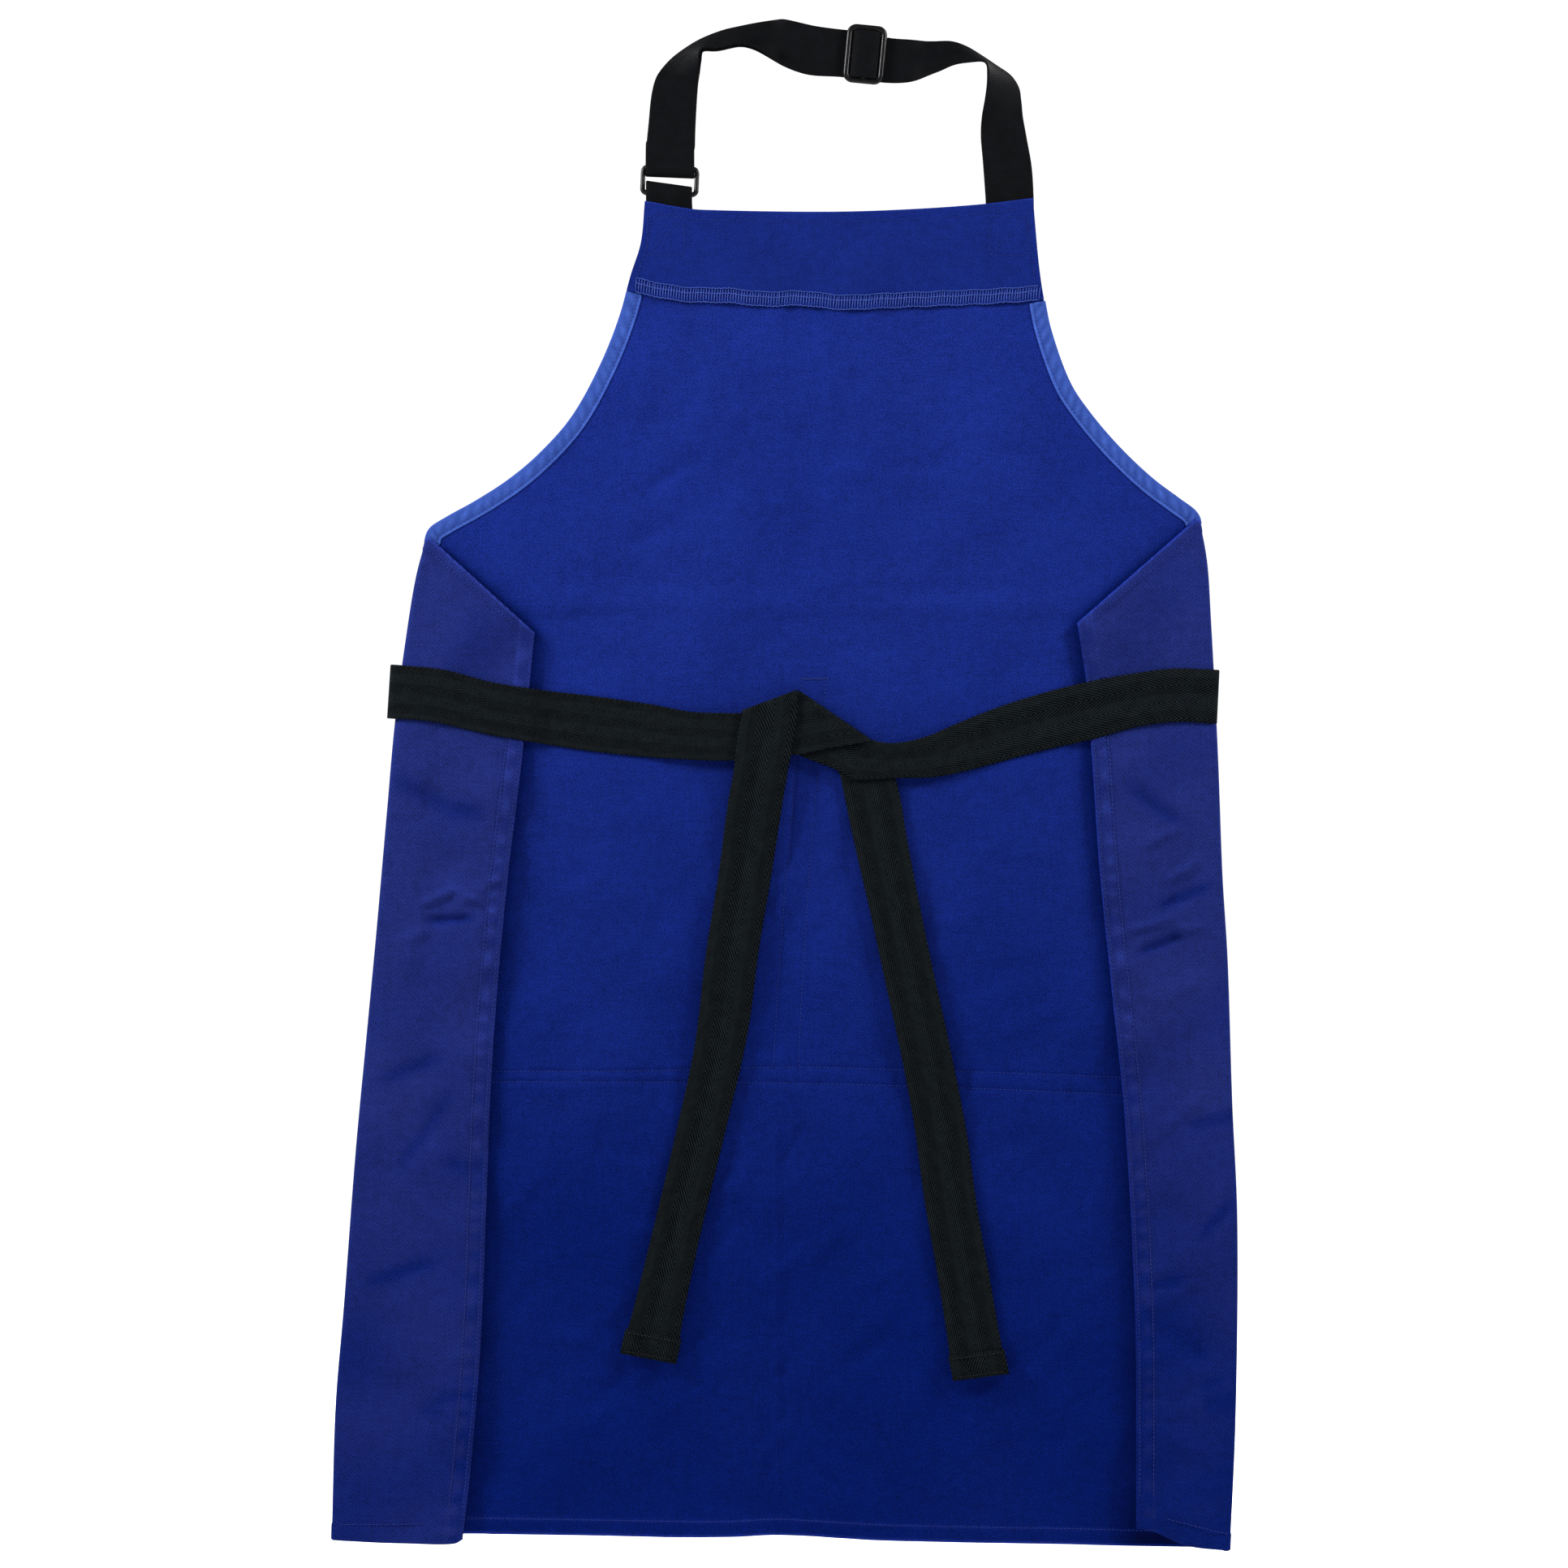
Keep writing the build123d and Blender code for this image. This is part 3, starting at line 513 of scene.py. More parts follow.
# ---- materials ----
class Shader:
    """Builds a node material a step at a time; every step returns an output socket."""

    def __init__(self, name):
        self.material = bpy.data.materials.new(name)
        self.material.use_nodes = True
        self.tree = self.material.node_tree
        self.surface = self.tree.nodes["Principled BSDF"]

    def node(self, kind, inputs=None, output=0, **settings):
        made = self.tree.nodes.new(kind)
        for key, value in settings.items():
            setattr(made, key, value)
        for key, value in (inputs or {}).items():
            self.put(made.inputs[key], value)
        return made.outputs[output]

    def put(self, socket, value):
        if isinstance(value, bpy.types.NodeSocket):
            self.tree.links.new(value, socket)
        else:
            socket.default_value = value

    def math(self, operation, a, b=0.0, c=0.0):
        return self.node("ShaderNodeMath", {0: a, 1: b, 2: c}, operation=operation)

    def add(self, a, b):
        return self.math("ADD", a, b)

    def sub(self, a, b):
        return self.math("SUBTRACT", a, b)

    def mul(self, a, b):
        return self.math("MULTIPLY", a, b)

    def mul_add(self, a, b, c):
        return self.math("MULTIPLY_ADD", a, b, c)

    def above(self, a, b):
        """How far a is above b, or 0."""
        return self.math("MAXIMUM", self.math("SUBTRACT", a, b), 0.0)

    def noise(self, scale, detail=3.0, roughness=0.6, stretch=(1, 1, 1)):
        """Value noise over the weave's millimetres."""
        moved = self.node("ShaderNodeVectorMath", {0: self.weave(), 1: stretch}, operation="MULTIPLY")
        settings = {"Vector": moved, "Scale": scale, "Detail": detail, "Roughness": roughness}
        return self.node("ShaderNodeTexNoise", settings)

    def weave(self):
        return self.node("ShaderNodeAttribute", output="Vector", attribute_name="weave")

    def wear_and_shade(self):
        return self.node("ShaderNodeAttribute", output="Fac", attribute_name="wear_and_shade")

    def across(self):
        return self.node("ShaderNodeSeparateXYZ", {0: self.weave()}, output=0)

    def along(self):
        return self.node("ShaderNodeSeparateXYZ", {0: self.weave()}, output=1)

    def stripes(self, a, b, pitch):
        """0 to 1 stripes where a + b passes through whole pitches."""
        phase = self.mul(self.add(a, b), 2 * math.pi / pitch)
        return self.mul_add(self.math("SINE", phase), 0.5, 0.5)

    def blend(self, share, a, b):
        mixed = self.node("ShaderNodeMix", data_type="RGBA", clamp_factor=True, output=2)
        made = mixed.node
        self.put(made.inputs[0], share)
        self.put(made.inputs[6], a)
        self.put(made.inputs[7], b)
        return mixed

    def brighten(self, color, factor):
        made = self.node("ShaderNodeVectorMath", {0: color}, operation="SCALE")
        self.put(made.node.inputs["Scale"], factor)
        return made

    def bump(self, height, distance, strength=1.0, under=None):
        inputs = {"Height": height, "Distance": distance, "Strength": strength}
        if under is not None:
            inputs["Normal"] = under
        return self.node("ShaderNodeBump", inputs)

    def finish(self, color, roughness, normal=None, specular=0.3):
        self.put(self.surface.inputs["Base Color"], color)
        self.put(self.surface.inputs["Roughness"], roughness)
        self.put(self.surface.inputs["Specular IOR Level"], specular)
        if normal is not None:
            self.put(self.surface.inputs["Normal"], normal)
        return self.material


def rgb(r, g, b):
    """A screen colour, 0 to 255, as a linear colour."""
    linear = [((v / 255 + 0.055) / 1.055) ** 2.4 if v > 10 else v / 255 / 12.92 for v in (r, g, b)]
    return (*linear, 1.0)


def cotton(name, deep, faded, pitch, lean, line_depth, fleck_depth):
    """Cotton twill.

    Its per-point attribute runs from the deep colour (0) to the faded colour (1) and carries painted shade
    as well as wear; above 1 is a rubbed edge, below 0 is painted shade.
    """
    s = Shader(name)
    u, v, wear_and_shade = s.across(), s.along(), s.wear_and_shade()
    lines = s.stripes(u, s.mul(v, lean), pitch)
    threads = s.mul(s.stripes(u, 0.0, 0.62), s.stripes(v, 0.0, 0.62))
    grain = s.noise(0.9, 4.0, 0.75)
    texture = s.mul(s.sub(grain, 0.5), fleck_depth)
    for depth, layer in (
        (line_depth, lines),
        (0.55, s.noise(0.17, 3.0, 0.6)),
        (0.40, s.noise(0.02, 2.0, 0.5)),
        (0.25, s.noise(0.35, 2.0, 0.6, (0.12, 1.6, 1.0))),
        (0.20, s.noise(0.35, 2.0, 0.6, (1.6, 0.12, 1.0))),
    ):
        texture = s.mul_add(s.sub(layer, 0.5), depth, texture)
    rubbed = s.above(wear_and_shade, 1.0)
    factor = s.mul(s.add(texture, 1.0), s.mul_add(rubbed, 1.1, 1.0))
    # Painted shade: values below 0 darken the colour.
    painted_shade = s.math("MAXIMUM", s.mul_add(s.math("MINIMUM", wear_and_shade, 0.0), 0.8, 1.0), 0.0)
    dyed = s.brighten(s.blend(wear_and_shade, deep, faded), s.mul(factor, painted_shade))
    nap = s.mul(s.above(s.noise(0.55, 3.0, 0.8), 0.54), 0.12)
    color = s.blend(s.mul(nap, painted_shade), dyed, (0.16, 0.2, 0.45, 1.0))
    height = s.mul_add(lines, 0.6, s.mul_add(threads, 0.3, s.mul(grain, 0.5)))
    normal = s.bump(height, 0.00012, 0.6)
    rough = s.mul_add(grain, 0.12, 0.80)
    return s.finish(color, rough, normal, 0.03)


def herringbone(name, light, dark, width):
    """Cotton tape woven in three slanting bands."""
    s = Shader(name)
    u, v = s.across(), s.along()
    bands = s.math("PINGPONG", u, width / 3)
    stripes = s.stripes(s.mul(bands, 1.9), v, 3.4)
    lines = s.mul(stripes, stripes)
    # Painted sheen: alternate bands of the tape are made lighter.
    band_sheen = s.math("GREATER_THAN", s.math("PINGPONG", s.sub(u, width / 3), width / 3), width / 6)
    grain = s.noise(1.1, 4.0, 0.75)
    dust = s.noise(0.12, 3.0, 0.6)
    mix = s.mul_add(lines, 0.7, s.mul(grain, 1.2))
    mix = s.mul_add(dust, 0.5, s.mul_add(band_sheen, 0.10, mix))
    mix = s.add(s.sub(mix, 0.79), s.wear_and_shade())
    color = s.blend(mix, dark, light)
    height = s.mul_add(lines, 0.8, s.mul(grain, 0.4))
    normal = s.bump(height, 0.00022, 0.8)
    return s.finish(color, 0.82, normal, 0.03)


def woven_webbing(name, light, dark):
    """Polyester webbing: fine ribs across it and cords along it."""
    s = Shader(name)
    u, v = s.across(), s.along()
    ribs = s.stripes(v, 0.0, 1.15)
    cords = s.stripes(u, s.mul(v, 0.25), 1.3)
    grain = s.noise(1.4, 4.0, 0.7)
    dust = s.noise(0.1, 3.0, 0.6)
    weave = s.mul(ribs, cords)
    mix = s.mul_add(weave, 0.45, s.mul(grain, 0.55))
    mix = s.mul_add(dust, 0.4, mix)
    mix = s.add(s.sub(mix, 0.35), s.wear_and_shade())
    color = s.blend(mix, dark, light)
    height = s.mul_add(weave, 0.8, s.mul(grain, 0.3))
    normal = s.bump(height, 0.0002, 0.7)
    return s.finish(color, 0.70, normal, 0.06)


def thread_finish(name, color, dark):
    """Twisted sewing thread."""
    s = Shader(name)
    place = s.node("ShaderNodeTexCoord", output=3)
    twist = s.node("ShaderNodeTexNoise", {"Vector": place, "Scale": 900.0, "Detail": 2.0})
    normal = s.bump(twist, 0.0001, 0.4)
    return s.finish(s.blend(twist, dark, color), 0.6, normal, 0.25)


def hard_finish(name, color, roughness, specular):
    """Painted wire or moulded plastic with fine scuffs."""
    s = Shader(name)
    place = s.node("ShaderNodeTexCoord", output=3)
    scuff = s.node("ShaderNodeTexNoise", {"Vector": place, "Scale": 260.0, "Detail": 5.0, "Roughness": 0.7})
    pits = s.node("ShaderNodeTexNoise", {"Vector": place, "Scale": 1400.0, "Detail": 2.0})
    worn = tuple(min(1.0, 2.2 * c + 0.004) for c in color[:3]) + (1.0,)
    rough = s.mul_add(scuff, 0.3, roughness - 0.15)
    share = s.mul(s.sub(scuff, 0.45), 1.6)
    return s.finish(s.blend(share, color, worn), rough, s.bump(pits, 0.00006, 0.4), specular)


inner_twill = cotton(
    "blue_twill_worn_side", (0.0016, 0.0118, 0.150, 1), (0.0108, 0.0275, 0.250, 1),
    pitch=1.3, lean=0.55, line_depth=0.14, fleck_depth=2.8,
)
outer_twill = cotton(
    "blue_twill_outer_side", (0.0030, 0.0135, 0.150, 1), (0.0160, 0.0280, 0.188, 1),
    pitch=1.85, lean=0.62, line_depth=0.5, fleck_depth=2.2,
)
lining = cotton(
    "blue_lining", (0.0050, 0.0165, 0.178, 1), (0.0100, 0.0255, 0.215, 1),
    pitch=1.5, lean=0.5, line_depth=0.14, fleck_depth=2.1,
)
binding_cloth = cotton(
    "light_blue_binding", (0.030, 0.072, 0.360, 1), (0.056, 0.120, 0.500, 1),
    pitch=1.2, lean=0.9, line_depth=0.2, fleck_depth=0.6,
)
tie_tape = herringbone("black_tape", rgb(39, 46, 50), rgb(3, 4, 6), TAPE_WIDTH)
strap_webbing = woven_webbing("black_webbing", rgb(31, 32, 37), rgb(5, 6, 8))
blue_thread = thread_finish("blue_thread", rgb(40, 62, 158), rgb(16, 32, 110))
pale_thread = thread_finish("light_blue_thread", rgb(76, 104, 200), rgb(36, 56, 144))
black_thread = thread_finish("black_thread", rgb(48, 48, 50), rgb(12, 12, 14))
black_metal = hard_finish("black_metal", rgb(18, 18, 20), roughness=0.42, specular=0.5)
black_plastic = hard_finish("black_plastic", rgb(12, 12, 14), roughness=0.36, specular=0.4)


def dress(obj, material, *stands_for, back=None, body="apron"):
    """Gives a piece its material and its back's material, hides the CAD nodes it stands for and parents it
    to the body it rides on.
    """
    obj.data.materials.append(material)
    obj.data.materials.append(back or material)
    if stands_for:
        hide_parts(*stands_for)
    if body:
        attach(obj, body)
    return obj


def sew(name, paths, radius, thread, *stands_for, body="apron"):
    """A piece made of threads."""
    return dress(tubes(name, paths, radius), thread, *stands_for, body=body)


def lay(name, low, high, thickness, material, *stands_for, body="apron", crown=0.0):
    """A piece made of tape or webbing."""
    return dress(ribbon(name, low, high, thickness, crown=crown), material, *stands_for, body=body)


# ---- body cloth ----
LEFT_CORNER_Z, RIGHT_CORNER_Z = 653.0, 665.0     # where the folds meet the armholes
TURN = FOLD_RADIUS + CLOTH / 2       # from the outside of a fold to where the cloth lies flat
# Rounded sizes of the cloth's parts, used to space the points of their grids.
SKIRT_LENGTH, BIB_LENGTH, WING_LENGTH, ACROSS = 645.0, 218.0, 640.0, 560.0
SKIRT_FOOT = (8.0, 1.5)             # height of the left and the right corner of the foot
GRID = 3.6                          # from one point of the skirt to the next
SEAM_GRID = 1.3                     # the same, beside the pocket's seams


def panel_rows(z_left, z_right, x_left, x_right, top_line, bottom_line):
    """Rows of points across the apron; the first and last rows follow the given lines."""
    middle = x_right - x_left
    share = finer(spaced(ACROSS, GRID, False, False), 262.0, 318.0, SEAM_GRID) / ACROSS
    x = x_left[:, None] + middle[:, None] * share
    z = z_left[:, None] + (z_right - z_left)[:, None] * share
    for row, line in ((0, bottom_line), (-1, top_line)):
        if line is not None:
            near = 1 - ease(np.abs(z_left - z_left[row]) / 60.0)
            z = z + near[:, None] * (line(x[row]) - z[row])[None, :]
    return x, z


skirt_share = finer(spaced(SKIRT_LENGTH, GRID, True, False), 284.0, 308.0, SEAM_GRID) / SKIRT_LENGTH
z_left = SKIRT_FOOT[0] + (LEFT_CORNER_Z - SKIRT_FOOT[0]) * skirt_share
z_right = SKIRT_FOOT[1] + (RIGHT_CORNER_Z - SKIRT_FOOT[1]) * skirt_share
x_left, x_right = left_fold_x(z_left) + TURN, right_fold_x(z_right) - TURN
x, z = panel_rows(z_left, z_right, x_left, x_right, None, panel_hem_z)
bib_share = spaced(BIB_LENGTH, 4.0, False, True)[1:] / BIB_LENGTH
(bib_left, bib_left_z), (bib_right, bib_right_z) = BIB_TOP[0], BIB_TOP[-1]
z_left = LEFT_CORNER_Z + (bib_left_z - LEFT_CORNER_Z) * bib_share
z_right = RIGHT_CORNER_Z + (bib_right_z - RIGHT_CORNER_Z) * bib_share
x_left = np.minimum(left_armhole_x(z_left), bib_left)
x_right = np.maximum(right_armhole_x(z_right), bib_right)
bib_x, bib_z = panel_rows(z_left, z_right, x_left, x_right, bib_top_z, None)
x, z = np.vstack([x, bib_x]), np.vstack([z, bib_z])
hem_line = z - z[:1]
hem = hemmed(hem_line)
depth = panel_y(x, z)
pucker = 0.16 * np.sin(x / 1.9 + 2 * np.sin(x / 13)) * bell(hem_line - 6, 4.5)
mid = xyz(x, depth + pucker, z)
# Lighter towards the chest and darker towards the foot.
panel_tone_and_shade = 0.86 * ease((z - 60.0) / 620.0) + 0.06 * broad(x * 1.3, z * 1.3)
outer_tone = 0.15 + 0.6 * panel_tone_and_shade
# Painted shadow: a narrow darker band on the cloth beside the wings' edges.
panel_tone_and_shade = panel_tone_and_shade * (1.0 - 0.85 * bell(np.maximum(beside_wing(x, z), 0.0), 6.5))
# Painted shade: darker still, below 0, under the right wing's foot.
panel_tone_and_shade = np.maximum(panel_tone_and_shade, 0.0) - 0.9 * ease((x - 205.0) / 30.0) * ease((60.0 - z) / 60.0)
panel_wear_and_shade = panel_tone_and_shade + 0.5 * bell(hem_line - 9.5, 1.0) + 1.2 * bell(hem_line, 0.8)
panel = sheet(
    "apron_cloth", mid, CLOTH + HEM_GROWTH * hem, np.stack([x, z], 2), panel_wear_and_shade, ("first", "last"),
    outer_tone,
)
dress(panel, inner_twill, "body_cloth", back=outer_twill)


def bend_with_wing(obj):
    """Bakes the piece's placement into its points."""
    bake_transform(obj)


TOP_FADE = 560.0        # scales the share of the height left above a point to its distance from the top


def wing_grid(fold, edge, hem_points, inward):
    """Rows from the hem to the slanted top; columns round the fold and on to the free edge."""
    rows = finer(spaced(WING_LENGTH, 4.0), 375.0, 470.0, 1.8) / WING_LENGTH
    fold_line, edge_line = curve(fold, 400), curve(edge, 400)
    at = np.linspace(0, 1, 400)
    f, e = sample(fold_line, at, rows), sample(edge_line, at, rows)
    turn_x = f[:, 0] + inward * TURN
    angle = np.linspace(0, math.pi, 9)
    length = np.hypot(e[:, 0] - turn_x, e[:, 1] - f[:, 1])
    from_end = np.array([13, 11, 10, 9.2, 8, 6, 4, 2.5, 1.2, 0.5, 0])
    flat = np.array([np.concatenate([np.linspace(0, n - 16, 28)[1:], n - from_end]) / n for n in length])
    round_x = turn_x[:, None] - inward * FOLD_RADIUS * np.sin(angle)
    round_y = np.broadcast_to(-FOLD_RADIUS + FOLD_RADIUS * np.cos(angle), round_x.shape)
    round_z = np.broadcast_to(f[:, 1:2], round_x.shape)
    flat_x = turn_x[:, None] + (e[:, 0] - turn_x)[:, None] * flat
    flat_z = f[:, 1:2] + (e[:, 1] - f[:, 1])[:, None] * flat
    hem_z = outline(hem_points, "x")
    near = 1 - ease((rows * WING_LENGTH) / 55.0)
    flat_z = flat_z + near[:, None] * (hem_z(flat_x[0]) - flat_z[0])[None, :]
    flat_y = wing_y(flat_x, flat_z, inward)
    start = ease(flat * length[:, None] / 26.0)
    flat_y = WING_Y + (flat_y - WING_Y) * start
    x = np.hstack([round_x, flat_x])
    y = np.hstack([round_y, flat_y])
    z = np.hstack([round_z, flat_z])
    arc = inward * FOLD_RADIUS * (math.pi - angle)
    weave_x = np.hstack([turn_x[:, None] - arc[None, :], flat_x])
    from_edge = np.hstack([np.full(round_x.shape, 90.0), (1 - flat) * length[:, None]])
    from_hem = np.broadcast_to((rows * WING_LENGTH)[:, None], x.shape)
    from_top = np.broadcast_to(((1 - rows) * TOP_FADE)[:, None], x.shape)
    return x, y, z, weave_x, from_edge, from_hem, from_top


def make_wing(side, fold, edge, hem_points, inward):
    """One folded-in wing, from its fold to its hemmed free edge."""
    x, y, z, weave_x, from_edge, from_hem, from_top = wing_grid(fold, edge, hem_points, inward)
    inset = np.minimum(np.minimum(from_edge, from_hem), from_top * 1.6)
    hem = hemmed(inset)
    pucker = 0.17 * np.sin(z / 1.9 + 2 * np.sin(z / 11)) * bell(from_edge - 6, 4.5)
    at_foot = 0.4 if inward > 0 else 0.0
    tone_wear_and_shade = at_foot + (1.0 - at_foot) * ease(z / 420.0) + 0.15 * wing_rumple(x * 0.6, z * 0.6)
    tone_wear_and_shade = np.minimum(tone_wear_and_shade, 1.0) + 0.25 * bell(from_edge - 10.6, 1.2) + 0.15 * bell(inset, 0.7)
    # Lighter along the slanted top; the dark line 3.2 mm inside the free edge is painted shadow of the
    # edge.
    tone_wear_and_shade = tone_wear_and_shade + 0.5 * bell(from_top, 1.2) - 0.25 * bell(from_edge - 3.2, 1.2)
    # Painted light and shade: light and dark bands along the hemmed free edge stand in for its puckers.
    tone_wear_and_shade = tone_wear_and_shade + 0.35 * np.sin(z / 2.3 + 3 * np.sin(z / 17)) * bell(from_edge - 7, 4)
    # Painted shade: the colour is darker in the grooves between creases.
    tone_wear_and_shade = np.maximum(tone_wear_and_shade - 0.4 * np.clip(creased(WING_CREASES[inward], x, z), 0.0, 1.6), 0.0)
    made = sheet(
        side + "_wing_cloth", xyz(x, y + pucker, z), CLOTH + HEM_GROWTH * hem,
        np.stack([weave_x, z], 2), tone_wear_and_shade, ("first",),
    )
    front, back = (outer_twill, inner_twill) if inward > 0 else (inner_twill, outer_twill)
    bend_with_wing(dress(made, front, side + "_wing", back=back, body=None))


def wing_stitching(side, fold, edge, inward):
    """Hem rows down the free edge, along the foot and under the slanted top."""
    def face(px, pz):
        return wing_y(px, pz, inward) - HEM_CLOTH / 2 + 0.05

    paths = []
    for k, inset in enumerate((1.6, 10.6)):
        line = offset(edge, inward * inset)[4:-3]
        paths += stitches(on_cloth(line[::12], face), seed=k + 3)
    top = np.array([edge[-1], fold[-1]])
    slant = offset(top[::-1] if inward > 0 else top, -4.0)
    paths += stitches(on_cloth(slant[8:-6:20], face), seed=8)
    foot = np.array([fold[0], edge[0]])
    row = offset(foot, inward * 9.5)[8:-12:20]
    paths += stitches(on_cloth(row, face), seed=9)
    name = side + "_wing_stitch"
    bend_with_wing(sew(name + "es", paths, 0.3, blue_thread, name + "ing", body=None))


for side, inward, fold, edge, hem_points in (
    ("left", 1, LEFT_FOLD, LEFT_EDGE, LEFT_WING_HEM),
    ("right", -1, RIGHT_FOLD, RIGHT_EDGE, RIGHT_WING_HEM),
):
    make_wing(side, fold, edge, hem_points, inward)
    wing_stitching(side, fold, edge, inward)

# ---- bib facing, its overlocked edge and the top stitching ----
FACING_LIFT = CLOTH / 2 + 0.1 + LINING / 2


def ragged_edge_z(x):
    """The facing's raw lower edge, which waves a little along its overlocking."""
    return facing_edge_z(x) - 1.0 + 0.7 * np.sin(x / 12.0 + 2 * np.sin(x / 43)) + 0.25 * np.sin(x / 3.1)


def facing_mid(x, z):
    """Middle of the facing, whose lower edge curls towards the viewer."""
    curl = -0.8 * bell(z - ragged_edge_z(x), 4.0) * (1 + 0.6 * np.sin(x / 7.0))
    return panel_y(x, z) - FACING_LIFT + curl


def facing_face(x, z):
    """Visible face of the facing."""
    return facing_mid(x, z) - LINING / 2


FACING_WIDTH = 250.0
share = spaced(FACING_WIDTH, 3.0) / FACING_WIDTH
up = np.concatenate([np.linspace(0, 12, 9), np.linspace(16, 54, 12), [58, 60.5, 62, 63, 63.6, 64]]) / 64.0
left_x = left_armhole_x(812.0 + 60.0 * up)
right_x = right_armhole_x(809.0 + 64.0 * up)
x = left_x[:, None] + (right_x - left_x)[:, None] * share
low_edge = ragged_edge_z(x)
z = low_edge + (bib_top_z(x) - low_edge) * up[:, None]
wear_and_shade = 0.6 + 0.5 * bell(z - low_edge, 1.2) + 0.7 * bell(bib_top_z(x) - z, 0.8)
facing = sheet("bib_facing_cloth", xyz(x, facing_mid(x, z), z), LINING, np.stack([x, z], 2), wear_and_shade)
dress(facing, lining, "bib_facing")

OVERLOCK_X = (-96.0, 165.0)
OVERLOCK_PITCH = 1.75
loops = []
rng = np.random.default_rng(5)
for x0 in np.arange(*OVERLOCK_X, OVERLOCK_PITCH):
    foot = ragged_edge_z(x0)
    height = 9.0 + rng.normal(0, 0.25)
    lean = rng.normal(0, 0.2)
    px = x0 + np.array([0.0, 0.2, 0.5, 0.8]) + lean * np.array([0, 0.3, 0.7, 1.0])
    pz = foot + np.array([-0.6, height * 0.35, height * 0.7, height])
    loops.append(xyz(px, facing_face(px, np.maximum(pz, foot)) - 0.22, pz))
for drop, wobble in ((9.0, 0.25), (5.6, 0.2), (-0.2, 0.35)):
    px = np.arange(*OVERLOCK_X, 1.2)
    foot = ragged_edge_z(px)
    pz = foot + drop + wobble * np.sin(px * 1.9)
    loops.append(xyz(px, facing_face(px, pz) - 0.42, pz))
sew("overlock_threads", loops, 0.34, pale_thread, "facing_overlock")

px = np.linspace(-83.0, 154.0, 90)
pz = bib_top_z(px) - 6.3
rows = stitches(xyz(px, facing_face(px, pz), pz), seed=12)
for edge_x, inward in ((left_armhole_x, 1), (right_armhole_x, -1)):
    pz = np.linspace(818.0, 866.0, 20)
    px = edge_x(pz) + inward * 4.0
    rows += stitches(xyz(px, facing_face(px, pz), pz), seed=15)
for centre in (-76.5, 145.0):
    corners = [(-12, 837), (12, 837), (12, 862), (-12, 862), (-12, 837), (12, 862)]
    for (ax, az), (bx, bz) in zip(corners[:-1], corners[1:]):
        px, pz = centre + np.linspace(ax, bx, 9), np.linspace(az, bz, 9)
        rows += stitches(xyz(px, facing_face(px, pz) + 0.08, pz), seed=16)
sew("bib_top_stitches", rows, 0.2, blue_thread, "bib_top_stitching")

px = np.linspace(-281.0, 279.0, 200)
pz = panel_hem_z(px) + 9.5
hem_row = xyz(px, panel_y(px, pz) - HEM_CLOTH / 2 + 0.1, pz)
sew("bottom_hem_stitches", stitches(hem_row, seed=13), 0.24, blue_thread, "bottom_hem_stitching")


# ---- armhole bindings ----
def binding(side, armhole, top_z, inward):
    """Bias tape folded over the cloth's edge, drawn into small slanting puckers by its stitching."""
    line = curve([p for p in armhole if p[1] < top_z + 12], 110)
    line = line[line[:, 1] < top_z]
    d = unit(np.gradient(line, axis=0))
    inside = inward * np.stack([d[:, 1], -d[:, 0]], 1)
    run = run_along(line)
    # Across the tape, from its worn side (layer -1) round the cloth's edge to its outer side (+1).
    worn_side = [9.5, 9.0, 8.2, 7.5, 6.8, 5.6, 4.2, 2.8, 1.4, 0.4]
    reach = np.array(worn_side + [-0.3, -0.6, -0.3] + [0.4, 2.5, 5.0, 7.5, 9.0, 9.5])
    layer = np.array([-1.0] * 10 + [-0.75, 0.0, 0.75] + [1.0] * 6)
    px = line[:, 0:1] + inside[:, 0:1] * reach
    pz = line[:, 1:2] + inside[:, 1:2] * reach
    slant = np.sin((run[:, None] + 0.9 * reach) / 1.35 + 1.5 * np.sin(run[:, None] / 9))
    puff = bell(reach - 4.4, 2.6)
    groove = bell(reach - 7.5, 0.7)
    lift = CLOTH / 2 + 0.35 + puff * (0.5 + 0.4 * slant) - 0.15 * groove
    # Painted shade and light: darker in the stitched groove and lighter where each pucker stands out.
    wear_and_shade = 0.6 + 0.6 * (reach > 7.9) - 0.5 * groove + 0.55 * puff * slant
    weave = np.stack(np.broadcast_arrays(reach[None, :], run[:, None]), 2)
    name = side + "_armhole_binding"
    made = sheet(name, xyz(px, panel_y(px, pz) + layer * lift, pz), LINING, weave, wear_and_shade)
    dress(made, binding_cloth, side + "_binding")
    rows = []
    px, pz = (line + inside * 7.5).T
    for way in (-1, 1):
        rows += stitches(xyz(px, panel_y(px, pz) + way, pz), way, seed=14)
    sew(name + "_stitches", rows, 0.2, pale_thread)


binding("left", LEFT_ARMHOLE, 814.0, 1)
binding("right", RIGHT_ARMHOLE, 808.0, -1)

# ---- pocket on the outer side, and its seams that show through ----
POCKET_X = (-200.0, 230.0)
POCKET_Z = (301.0, 565.0)
POCKET_LIFT = CLOTH / 2 + 0.9       # the pocket's middle layer stands this far behind the cloth's


def pocket_bow(x, z):
    """How far the pocket stands off the cloth: nothing at its seams, most at the mouth."""
    opened = ease((z - POCKET_Z[0] - 8) / (POCKET_Z[1] - POCKET_Z[0]))
    left = (x - POCKET_X[0] - 12) / (divider_left_x(z) - POCKET_X[0] - 12)
    right = (x - divider_right_x(z)) / (POCKET_X[1] - 12 - divider_right_x(z))
    bow = np.where(x < divider_left_x(z), left, np.where(x > divider_right_x(z), right, 0.0))
    return 6.0 * opened * np.sin(math.pi * np.clip(bow, 0, 1)) ** 2


def worn_face(x, z):
    """Just inside the body cloth's worn face."""
    return panel_y(x, z) - CLOTH / 2 + 0.08


def pocket_face(x, z):
    """Just inside the pocket's outer face at its hems."""
    return panel_y(x, z) + POCKET_LIFT + HEM_CLOTH / 2 + pocket_bow(x, z) - 0.1


